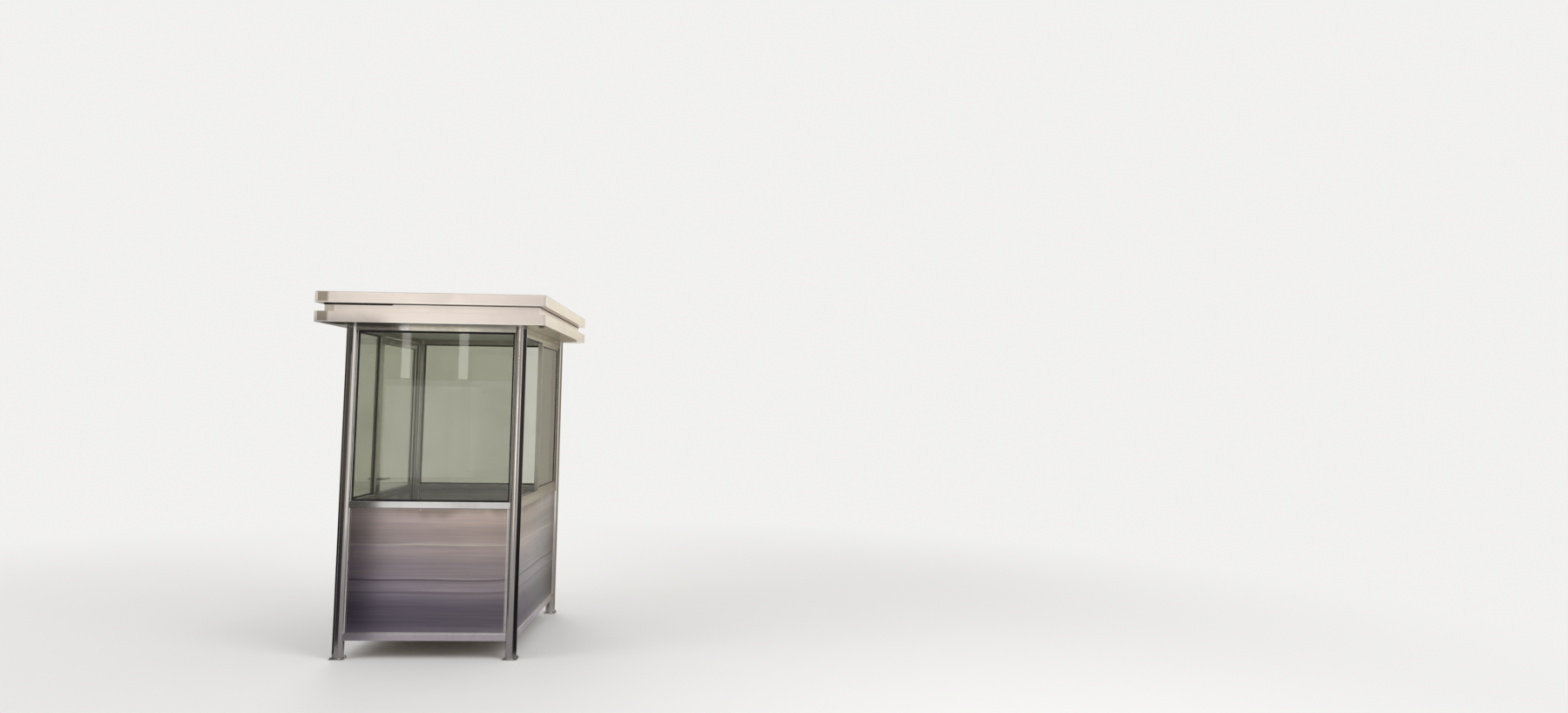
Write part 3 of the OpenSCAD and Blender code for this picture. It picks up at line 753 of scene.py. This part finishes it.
# Painted shade under the sill: a scalloped dark yellowish band along the skin's top, deepest where
# the painted swing along the wall is darkest.
drape = placed_group(tree, brush_marks, spot, Fineness=(60, 60, 4)).outputs["Drift"]
hem = reckon(tree, "SUBTRACT", shade_under_sill_top, reckon(tree, "MULTIPLY", drape, shade_under_sill_drop))
below = reckon(tree, "SUBTRACT", parts["Z"], hem)
depth = ramp(tree, shade_swing, -1.0, -0.3, 0.24, 0.52)
painted_shade_under_sill = reckon(tree, "MULTIPLY", ramp(tree, below, shade_under_sill_gone, shade_under_sill_thick), depth)
tone = mixed(tree, painted_shade_under_sill, tone, (0.16, 0.145, 0.085))
calmer = tree.nodes.new("ShaderNodeHueSaturation")
tree.links.new(tone, calmer.inputs["Color"])
colourful = ramp(tree, parts["Y"], calm_back, calm_front, 0.3, 1.0)
tree.links.new(colourful, calmer.inputs["Saturation"])
tree.links.new(calmer.outputs["Color"], colour)

channel_steel = steel(
    "channel_steel", (0.78, 0.76, 0.74), (0.60, 0.58, 0.57), (0.18, 0.32), (420, 420, 6),
    relief=0.00003, dirt=0.4,
)


def skin_bulge(spot, u, v):
    """How far the skin stands out at a spot: creases and a slow waviness, none at its rim"""
    level, along = spot.z, spot.x + spot.y
    for size, rate, shift in wobbles:
        level -= size * math.sin(along * rate + shift)
    out = sum(size * math.exp(-((level - at) / spread) ** 2) for at, size, spread in creases)
    out += sheet_slack * math.sin(5.2 * u + 0.7) * math.sin(6.4 * v + 0.4)
    return out * min(1, min(u, 1 - u, v, 1 - v) / flat_rim)


def wavy_sheet(size, middle, wide, cuts, place=Matrix.Identity(4)):
    """A panel with wavy skins: wide is the axis that its width lies on, 0 or 1"""
    bm = bmesh.new()
    block(bm, size, middle)
    for axis, count in ((2, cuts[0]), (wide, cuts[1])):
        edges = [e for e in bm.edges if abs(e.verts[0].co[axis] - e.verts[1].co[axis]) > 1e-6]
        bmesh.ops.subdivide_edges(bm, edges=edges, cuts=count, use_grid_fill=True)
    thick = 1 - wide
    for vert in bm.verts:
        u = (vert.co[wide] - middle[wide]) / size[wide] + 0.5
        v = (vert.co.z - middle.z) / size[2] + 0.5
        bulge = skin_bulge(place @ vert.co, u, v)
        vert.co[thick] += math.copysign(bulge, vert.co[thick] - middle[thick])
    return bm


for side, rivets in (
    ("front", (-0.437, -0.059, 0.319)), ("back", (-0.38, 0, 0.38)),
    ("right", (-0.62, -0.207, 0.207, 0.62)), ("left", (0.35, 0.65)),
):
    node = side + "_panel"
    low, high = side_box(node, side)
    size, middle = high - low, (low + high) / 2
    core = size.y - 2 * channel_proud
    sheet_w = size.x - 2 * channel_face + 2 * sheet_lap
    bm = wavy_sheet((sheet_w, core, size.z), middle, 0, (116, 26), side_place[side])
    bm.transform(side_place[side])
    put_up(side + "_wall_sheet", bm, [panel_sheet], "booth", "panel_steel", node)

    bm = bmesh.new()
    for end in (low.x + channel_face / 2, high.x - channel_face / 2):
        block(bm, (channel_face, size.y, size.z), (end, middle.y, middle.z), ease=channel_ease)
    block(bm, (size.x - 2 * channel_face, size.y, base_channel),
          (middle.x, middle.y, low.z + base_channel / 2), ease=channel_ease)
    for x in rivets:
        for out in (-1, 1):
            screw_head(
                bm, rivet_r,
                Matrix.Translation((x, middle.y + out * core / 2, high.z - rivet_drop))
                @ Matrix.Rotation(-out * math.pi / 2, 4, "X"),
            )
    bm.transform(side_place[side])
    put_up(side + "_wall_channels", bm, [channel_steel], "booth", "panel_steel")

# Sills and head rails: satin tubes like the base's, between the columns at desk
# height and under the roof, each coped and welded at its ends. A cover strip
# hides a joint in the front head rail, and another one in the back.
for side in runs:
    low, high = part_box(side + "_sill")
    stops_at_door = side == "left"
    put_up(side + "_sill_tube", copy_of(side + "_sill"), [satin_tube], "booth", "rail_steel",
           side + "_sill", sharp=25)
    bm = bmesh.new()
    weld_run(bm, side, low.z, high.z - low.z, ends=(not stops_at_door, True))
    put_up(side + "_sill_welds", bm, [weld_metal], "booth", "rail_steel")

low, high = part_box("head_rails")
# The head rails take a darker, yellower copy of the satin tube's steel: painted shade, as of the
# shadow under the eaves.
shaded_head_tube = steel(
    "shaded_head_tube", (0.62, 0.585, 0.52), (0.46, 0.43, 0.38), (0.12, 0.22), (7, 7, 420),
    smudge=0.25, relief=0.00003,
)
cover_x, cover_w, cover_t, cover_short = -0.21, 0.052, 0.0015, 0.004
put_up("head_tubes", copy_of("head_rails"), [shaded_head_tube], "booth", "rail_steel",
       "head_rails", sharp=25)
bm = bmesh.new()
for side in ("front", "back"):
    block(bm, (cover_w, cover_t, high.z - low.z - cover_short),
          side_place[side] @ Vector((cover_x, -rail_width / 2 - cover_t / 2, (low.z + high.z) / 2)),
          ease=0.0006)
put_up("head_cover_strips", bm, [satin_tube], "booth", "rail_steel")
bm = bmesh.new()
for side in runs:
    weld_run(bm, side, low.z, high.z - low.z)
put_up("head_welds", bm, [weld_metal], "booth", "rail_steel")

# Fixed windows: one float glass pane a side, set in a black rubber channel whose
# lips press on the glass. Grey sealant closes the joints between the columns and
# the windows and lower walls, on both sides.
pane_bite, fixed_lip, lip_depth = 0.007, 0.0015, 0.0035


def eased(bm, ease, segments=2, over=30):
    """Rounds off every edge of a bmesh that is sharper than an angle"""
    sharp_edges = [
        e for e in bm.edges
        if len(e.link_faces) == 2 and e.calc_face_angle(0) > math.radians(over)
    ]
    bmesh.ops.bevel(
        bm, geom=sharp_edges, offset=ease, offset_type="OFFSET", segments=segments,
        profile=0.5, affect="EDGES", material=-1, clamp_overlap=True,
    )
    return bm


def glass(name, clear, hazy):
    """Float glass, green in its depth, with a faint haze where hands and rain left it"""
    finish, tree = new_finish(name)
    body = tree.nodes["Principled BSDF"]
    body.inputs["Transmission Weight"].default_value = 1
    body.inputs["IOR"].default_value = 1.52
    spot = spot_of(tree)
    haze = placed_group(tree, smudges, spot, Size=0.4).outputs["Mask"]
    tree.links.new(mixed(tree, haze, clear, hazy), body.inputs["Base Color"])
    tree.links.new(mixed(tree, haze, 0.0, 0.035, "FLOAT"), body.inputs["Roughness"])
    return finish


def put_up_pane(node, body):
    """A pane with its sharp edges ground off, in place of a node"""
    low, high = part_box(node)
    bm = bmesh.new()
    block(bm, high - low, (low + high) / 2, ease=0.0008, segments=1)
    pane = put_up(node + "_pane", bm, [float_glass], body, "window_glass", node)
    pane.visible_shadow = False


def put_up_lips(node, body, lip, finish):
    """Rubber lips on both faces of a pane, along the edge of what holds it"""
    low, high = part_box(node)
    size, middle = high - low, (low + high) / 2
    along_x = size.x > size.y
    wide, thick = (size.x, size.y) if along_x else (size.y, size.x)
    bm = bmesh.new()
    for turned in (0, math.pi):
        made = bmesh.ops.create_grid(bm, x_segments=1, y_segments=1, size=0.5)["verts"]
        bmesh.ops.scale(
            bm, vec=(wide - 2 * pane_bite, size.z - 2 * pane_bite, 1), verts=made
        )
        face = made[0].link_faces[0]
        rim = bmesh.ops.inset_region(
            bm, faces=[face], thickness=lip, use_boundary=True, use_even_offset=True
        )["faces"]
        bmesh.ops.delete(bm, geom=[face], context="FACES_ONLY")
        raised = bmesh.ops.extrude_face_region(bm, geom=rim, use_keep_orig=True)["geom"]
        lifted = [v for v in raised if isinstance(v, bmesh.types.BMVert)]
        bmesh.ops.translate(bm, vec=(0, 0, lip_depth), verts=lifted)
        new = one_each([v for f in rim for v in f.verts] + lifted)
        base_turn = turned if along_x else turned + math.pi / 2
        place = (
            Matrix.Translation(middle) @ Matrix.Rotation(base_turn, 4, "Z")
            @ Matrix.Translation((0, -thick / 2, 0)) @ Matrix.Rotation(math.pi / 2, 4, "X")
        )
        bmesh.ops.transform(bm, matrix=place, verts=new)
    bmesh.ops.recalc_face_normals(bm, faces=bm.faces)
    eased(bm, min(lip, lip_depth) * 0.3, over=60)
    put_up(node + "_lips", bm, [finish], body, "glazing_rubber")


black_rubber = coat(
    "black_rubber", (0.020, 0.020, 0.020), (0.036, 0.035, 0.033), (0.5, 0.7), 0.06,
    relief=0.00008, shine=0.15,
)
float_glass = glass("float_glass", (0.60, 0.605, 0.53), (0.56, 0.565, 0.49))
for side in ("front", "back", "left"):
    put_up(side + "_glazing_channel", eased(copy_of(side + "_window_frame"), 0.0015), [black_rubber],
           "booth", "glazing_rubber", side + "_window_frame")
    put_up_pane(side + "_glass", "booth")
    put_up_lips(side + "_glass", "booth", fixed_lip, black_rubber)

sealant = coat(
    "grey_sealant", (0.46, 0.45, 0.43), (0.38, 0.36, 0.34), (0.35, 0.55), 0.05, relief=0.0002,
    dirt=0.5,
)
panel_bead, rubber_bead, track_bead, bead_in, bead_short = 0.0048, 0.0026, 0.0036, 0.6, 0.001
joint_w = 0.01
joints = [(side, side + "_panel", panel_bead) for side in runs]
joints += [(side, side + "_window_frame", rubber_bead) for side in ("front", "back", "left")]
joints.append(("right", "right_track_frame", track_bead))
bm = bmesh.new()
for side, node, bead in joints:
    low, high = side_box(node, side)
    reach = across_x if side in ("front", "back") else across_y
    for x in (low.x, high.x):
        if abs(abs(x) - reach) > tube_r + joint_w:
            continue
        for out in (-1, 1):
            y = (low.y + high.y) / 2 + out * ((high.y - low.y) / 2 - bead * bead_in)
            tube_edge = reach - math.sqrt(tube_r ** 2 - y ** 2)
            made = rod(
                bm, bead, high.z - low.z - bead_short,
                (math.copysign((abs(x) + tube_edge) / 2, x), y, (low.z + high.z) / 2), sides=14,
            )
            bmesh.ops.transform(bm, matrix=side_place[side], verts=made)
put_up("sealant_beads", bm, [sealant], "booth", "glazing_rubber")

# Sliding window: a satin track frame with an outer and an inner groove. The
# inner sash is fixed at the back, the outer one slides and stands drawn back, as
# in the photograph. Brush pile closes the grooves, rubber holds the panes.
sash_lip, pile_w, pile_share, track_face = 0.004, 0.0035, 0.8, 0.024
frame_steel = steel(
    "frame_steel", (0.62, 0.60, 0.565), (0.595, 0.575, 0.54), (0.23, 0.28), (900, 900, 900),
    smudge=0.05, relief=0.000003,
)
put_up("track_frame", eased(copy_of("right_track_frame"), 0.0006), [frame_steel], "booth",
       "frame_steel", "right_track_frame")
for sash in ("fixed", "sliding"):
    put_up(sash + "_sash", eased(copy_of("right_%s_sash" % sash), 0.0009), [frame_steel],
           "booth", "frame_steel", "right_%s_sash" % sash)
    put_up_pane("right_%s_glass" % sash, "booth")
    put_up_lips("right_%s_glass" % sash, "booth", sash_lip, black_rubber)

brush_pile = coat(
    "brush_pile", (0.10, 0.10, 0.10), (0.16, 0.16, 0.155), (0.9, 1.0), 0.03,
    grain=0.6, relief=0.0006, speck=(0.26, 0.26, 0.25),
)
low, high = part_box("right_track_frame")
inside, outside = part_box("right_fixed_sash"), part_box("right_sliding_sash")
bm = bmesh.new()
for x, track_edge in ((outside[1].x, high.x), (inside[0].x, low.x)):
    size = (abs(track_edge - x) * pile_share, high.y - low.y - 2 * track_face, pile_w)
    for z in (low.z + track_face - pile_w / 2, high.z - track_face + pile_w / 2):
        block(bm, size, ((x + track_edge) / 2, 0, z), ease=0.0004)
put_up("track_brushes", bm, [brush_pile], "booth", "glazing_rubber")

# Door: tube posts, each with a stop lip and a rubber seal, and a welded leaf with
# a pane over a foam-filled sheet panel, both set in rubber, on three lift-off
# hinges.
panel_lip = 0.003
seal_in, seal_off, seal_t, seal_w, seal_short = 0.006, 0.0005, 0.0042, 0.008, 0.02

put_up("door_post_tubes", eased(copy_of("door_posts"), 0.0012), [frame_steel], "booth",
       "frame_steel", "door_posts")
put_up("door_leaf_frame", eased(copy_of("door_leaf"), 0.0012), [frame_steel], "door",
       "frame_steel", "door_leaf")
put_up_pane("door_glass", "door")
put_up_lips("door_glass", "door", sash_lip, black_rubber)
low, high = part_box("door_panel")
bm = wavy_sheet(high - low, (low + high) / 2, 1, (100, 22))
put_up("door_sheet", bm, [panel_sheet], "door", "panel_steel", "door_panel")
put_up_lips("door_panel", "door", panel_lip, black_rubber)

low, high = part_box("door_posts")
leaf_low, leaf_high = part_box("door_leaf")
bm = bmesh.new()
for y in (leaf_low.y + seal_in, leaf_high.y - seal_in):
    block(bm, (seal_t, seal_w, high.z - low.z - seal_short),
          (leaf_high.x + seal_off + seal_t / 2, y, (low.z + high.z) / 2), ease=0.001)
put_up("door_seals", bm, [black_rubber], "booth", "glazing_rubber")

hinge_steel = steel(
    "hinge_steel", (0.72, 0.70, 0.68), (0.52, 0.50, 0.48), (0.16, 0.30), (300, 300, 300),
    relief=0.00004,
)
put_up("hinge_lower_knuckles", eased(copy_of("hinge_pins"), 0.0007, over=50), [hinge_steel],
       "booth", "hardware", "hinge_pins")
put_up("hinge_upper_knuckles", eased(copy_of("hinge_knuckles"), 0.0005, over=50), [hinge_steel],
       "door", "hardware", "hinge_knuckles")

# Handle: a polished lever on a long plate on each face of the leaf, with a lock
# cylinder below the lever and a screw at each end of the plate.
handle_plate_w, handle_plate_t, handle_screw_r, handle_screw_up = 0.026, 0.006, 0.0035, 0.083
lock_drop, lock_r, lock_t, lock_proud = 0.055, 0.0085, 0.005, 0.0012
tail_w, tail_h, tail_drop = 0.0075, 0.016, 0.011
slot_w, slot_h, slot_t = 0.0016, 0.007, 0.0058
polished_steel = steel(
    "polished_steel", (0.82, 0.80, 0.77), (0.70, 0.68, 0.65), (0.06, 0.14), (600, 600, 600),
    smudge=0.3, relief=0.00001,
)
put_up("door_lever", eased(copy_of("door_handle"), 0.0010, over=60), [polished_steel], "door",
       "hardware", "door_handle")
low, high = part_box("door_handle")
plate_y, lever_z = low.y + handle_plate_w / 2, (low.z + high.z) / 2
bm = bmesh.new()
for out, leaf_face in ((-1, leaf_low.x), (1, leaf_high.x)):
    face = leaf_face + out * handle_plate_t
    for up in (-handle_screw_up, handle_screw_up):
        screw_head(
            bm, handle_screw_r,
            Matrix.Translation((face, plate_y, lever_z + up))
            @ Matrix.Rotation(out * math.pi / 2, 4, "Y"),
        )
    middle = Vector((face + out * lock_proud, plate_y, lever_z - lock_drop))
    rod(bm, lock_r, lock_t, middle, sides=28, axis="X")
    block(bm, (lock_t, tail_w, tail_h), middle - Vector((0, 0, tail_drop)), ease=0.001)
    block(bm, (slot_t, slot_w, slot_h), middle, ease=0.0002, segments=1)
put_up("door_lock", bm, [bolt_steel], "door", "hardware")

# Roof frame and ceiling: primed tubes on the columns, and an off-white lining
# board under them with narrow cover strips.
put_up("roof_tubes", eased(copy_of("roof_frame"), 0.003), [primer], "booth", "inner_steel",
       "roof_frame")
lining = coat(
    "ceiling_lining", (0.70, 0.69, 0.66), (0.64, 0.63, 0.60), (0.5, 0.65), 0.5,
    grain=0.2, relief=0.0001, speck=(0.78, 0.77, 0.74),
)
low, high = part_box("ceiling")
strip_w, strip_t, strip_short = 0.03, 0.003, 0.01
bm = copy_of("ceiling")
for y in (low.y + (high.y - low.y) / 3, low.y + (high.y - low.y) * 2 / 3):
    block(bm, (high.x - low.x - strip_short, strip_w, strip_t), (0, y, low.z - strip_t / 2),
          ease=0.001)
put_up("ceiling_board", bm, [lining], "booth", "ceiling_lining", "ceiling", sharp=25)

# Roof edge: two folded stainless bands, lapped at the corners, with a set-back
# strip between them that a black seal and a splice plate close, and a soffit
# sheet under the eaves with a narrow trim along the walls. The seal's height
# paints the shadow line under the upper band.
lap_leg, lap_t, lap_short, fold_r = 0.017, 0.0008, 0.003, 0.0022
lap_sheet = steel(
    "lap_sheet", (0.84, 0.79, 0.74), (0.72, 0.68, 0.64), (0.24, 0.36), (6, 6, 300),
    smudge=0.08, relief=0.00004,
)
roof_sheet = steel(
    "roof_sheet", (0.95, 0.855, 0.805), (0.83, 0.75, 0.71), (0.26, 0.40), (6, 6, 300),
    smudge=0.10, relief=0.00004,
)
tree, spot, parts, colour, tone = opened(roof_sheet)
dark_reflection_edge, dark_reflection_soft, highlight_line_up = -0.655, 0.022, 0.0045
band_front = (-0.93, -0.97)
# Painted dark reflection at the left end of the front bands: a soft-edged brownish patch.
painted_dark_reflection = reckon(
    tree, "MULTIPLY", ramp(tree, parts["X"], dark_reflection_edge, dark_reflection_edge - dark_reflection_soft, 0.0, 0.72),
    ramp(tree, parts["Y"], *band_front),
)
tone = mixed(tree, painted_dark_reflection, tone, (0.20, 0.17, 0.11))
# Painted highlight along each band's lower fold: a cream line just above the band's bottom edge.
for band in ("roof_lower_band", "roof_upper_band"):
    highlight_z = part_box(band)[0].z + highlight_line_up
    gap = reckon(tree, "ABSOLUTE", reckon(tree, "SUBTRACT", parts["Z"], highlight_z))
    tone = mixed(tree, ramp(tree, gap, 0.0025, 0.006, 0.75, 0.0), tone, (1.0, 0.96, 0.89))
tree.links.new(tone, colour)

soffit_sheet = steel(
    "soffit_sheet", (0.90, 0.85, 0.73), (0.78, 0.73, 0.63), (0.24, 0.38), (5, 300, 300),
    smudge=0.10, relief=0.00004,
)
before_wall, right_end, left_part = (-0.80, -0.84), (0.42, 0.56), (-0.35, 0.1)
tree, spot, parts, colour, tone = opened(soffit_sheet)
# Painted reflection: yellow-green stripes across the soffit, like trees seen in it.
painted_reflection_stripes = placed_group(tree, brush_marks, spot, Fineness=(34, 1.2, 1)).outputs["Marks"]
tone = mixed(tree, ramp(tree, painted_reflection_stripes, 0.45, 0.62, 0.0, 0.55), tone, (0.80, 0.80, 0.50))
# Painted shade under the front eave: the soffit is made near black in front of the wall, darkest at
# the left and fading out at the right end.
shaded_front = reckon(
    tree, "MULTIPLY", ramp(tree, parts["Y"], *before_wall),
    ramp(tree, parts["X"], *right_end, 1.0, 0.0),
)
painted_front_shade = mixed(
    tree, ramp(tree, parts["X"], *left_part), (0.02, 0.017, 0.011), (0.06, 0.055, 0.045)
)
tree.links.new(mixed(tree, shaded_front, tone, painted_front_shade), colour)


def outer_edges(bm):
    """The edges that lie on two sides of a bmesh's own box"""
    low = Vector([min(v.co[i] for v in bm.verts) for i in range(3)])
    high = Vector([max(v.co[i] for v in bm.verts) for i in range(3)])

    def on_sides(edge):
        return sum(
            any(all(abs(v.co[i] - limit) < 1e-4 for v in edge.verts) for limit in (low[i], high[i]))
            for i in range(3)
        )

    return [edge for edge in bm.edges if on_sides(edge) >= 2]


def folded(bm, radius, segments=3):
    """Rounds a sheet's outer edges, as a folding press does"""
    bmesh.ops.bevel(
        bm, geom=outer_edges(bm), offset=radius, offset_type="OFFSET", segments=segments,
        profile=0.5, affect="EDGES", material=-1, clamp_overlap=True,
    )
    return bm


def slimmer(bm, by):
    """Draws a band's outer faces in, so that what laps over them ends flush"""
    edge_x = max(vert.co.x for vert in bm.verts)
    edge_y = max(vert.co.y for vert in bm.verts)
    for vert in bm.verts:
        if abs(abs(vert.co.x) - edge_x) < 1e-5:
            vert.co.x -= math.copysign(by, vert.co.x)
        if abs(abs(vert.co.y) - edge_y) < 1e-5:
            vert.co.y -= math.copysign(by, vert.co.y)
    return bm


for band in ("roof_lower_band", "roof_upper_band"):
    low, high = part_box(band)
    put_up(band + "_sheet", folded(slimmer(copy_of(band), lap_t), fold_r), [roof_sheet], "booth",
           "roof_steel", band)
    bm = bmesh.new()
    for x in (low.x, high.x):
        for y in (low.y, high.y):
            block(
                bm, (lap_leg, lap_leg, high.z - low.z - lap_short),
                (x - math.copysign(lap_leg / 2, x), y - math.copysign(lap_leg / 2, y),
                 (low.z + high.z) / 2),
                ease=0.0018, segments=3, upright_only=True,
            )
    put_up(band + "_laps", bm, [lap_sheet], "booth", "roof_steel")

put_up("roof_groove_strip", folded(copy_of("roof_groove"), 0.0015), [roof_sheet], "booth",
       "roof_steel", "roof_groove")
low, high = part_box("roof_groove")
# The black seal doubles as a painted shadow under the upper band: tall along the front's left part,
# short elsewhere.
seal_shadow_out, shadow_thick_end = 0.004, -0.26
thick_seal_shadow, even_seal_shadow, thin_seal_shadow = 0.010, 0.006, 0.0045
bm = bmesh.new()
for x0, x1, y0, y1, seal_shadow_h in (
    (low.x - seal_shadow_out, shadow_thick_end, low.y - seal_shadow_out, low.y, thick_seal_shadow),
    (shadow_thick_end, high.x + seal_shadow_out, low.y - seal_shadow_out, low.y, thin_seal_shadow),
    (low.x - seal_shadow_out, high.x + seal_shadow_out, high.y, high.y + seal_shadow_out, even_seal_shadow),
    (low.x - seal_shadow_out, low.x, low.y, high.y, even_seal_shadow),
    (high.x, high.x + seal_shadow_out, low.y, high.y, thin_seal_shadow),
):
    block(bm, (x1 - x0, y1 - y0, seal_shadow_h),
          ((x0 + x1) / 2, (y0 + y1) / 2, high.z - seal_shadow_h / 2), ease=0.001)
put_up("roof_groove_seal_shadow", bm, [black_rubber], "booth", "glazing_rubber")
splice_w, splice_t, splice_gap = 0.062, 0.0015, 0.010
splice_steel = steel(
    "splice_steel", (0.66, 0.61, 0.52), (0.56, 0.52, 0.45), (0.28, 0.42), (6, 6, 300),
    relief=0.00004,
)
bm = bmesh.new()
block(bm, (splice_w, splice_t, high.z - low.z - splice_gap),
      (low.x + splice_w / 2, low.y - splice_t / 2, (low.z + high.z - splice_gap) / 2),
      ease=0.0005, segments=1)
put_up("roof_groove_splice", bm, [splice_steel], "booth", "roof_steel")
put_up("soffit_skin", eased(copy_of("soffit"), 0.0003, over=60), [soffit_sheet], "booth",
       "roof_steel", "soffit", sharp=25)

trim_w, trim_t, trim_gap = 0.014, 0.0015, 0.004
soffit_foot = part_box("soffit")[0].z
wall_x, wall_y = across_x + rail_width / 2, across_y + rail_width / 2
long_x, long_y = 2 * (across_x - tube_r - trim_gap), 2 * (across_y - tube_r - trim_gap)
bm = bmesh.new()
for x, y, w, d in (
    (0, -wall_y - trim_w / 2, long_x, trim_w),
    (0, wall_y + trim_w / 2, long_x, trim_w),
    (-wall_x - trim_w / 2, 0, trim_w, long_y),
    (wall_x + trim_w / 2, 0, trim_w, long_y),
):
    block(bm, (w, d, trim_t), (x, y, soffit_foot - trim_t / 2), ease=0.0005)
put_up("soffit_trim", bm, [channel_steel], "booth", "roof_steel")

# Roof deck: one stainless sheet, crowned so that water runs off, turned down at
# the edge behind the upper band and dull with dust.
deck_sheet = steel(
    "deck_sheet", (0.56, 0.54, 0.51), (0.48, 0.46, 0.44), (0.45, 0.60), (5, 5, 220),
    smudge=0.16, relief=0.00006,
)
put_up("roof_deck_sheet", copy_of("roof_deck"), [deck_sheet], "booth", "roof_steel", "roof_deck",
       sharp=3)

# Desk: a brown laminated board with a dark edge band, carried by two primed
# steel gussets that are fixed to the front wall.
laminate = coat(
    "brown_laminate", (0.17, 0.11, 0.085), (0.22, 0.15, 0.12), (0.30, 0.45), 0.18,
    grain=0.45, relief=0.00005, speck=(0.34, 0.25, 0.20),
)
edge_band = coat(
    "desk_edge_band", (0.075, 0.055, 0.05), (0.10, 0.075, 0.065), (0.35, 0.5), 0.06,
    relief=0.00005,
)
bm = eased(copy_of("desk_top"), 0.0015, over=60)
bm.normal_update()
for face in bm.faces:
    face.material_index = 0 if abs(face.normal.z) > 0.7 else 1
put_up("desk_board", bm, [laminate, edge_band], "booth", "desk_board", "desk_top", sharp=25)
put_up("desk_gussets", eased(copy_of("desk_brackets"), 0.0006), [primer], "booth", "inner_steel",
       "desk_brackets")

low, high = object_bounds()
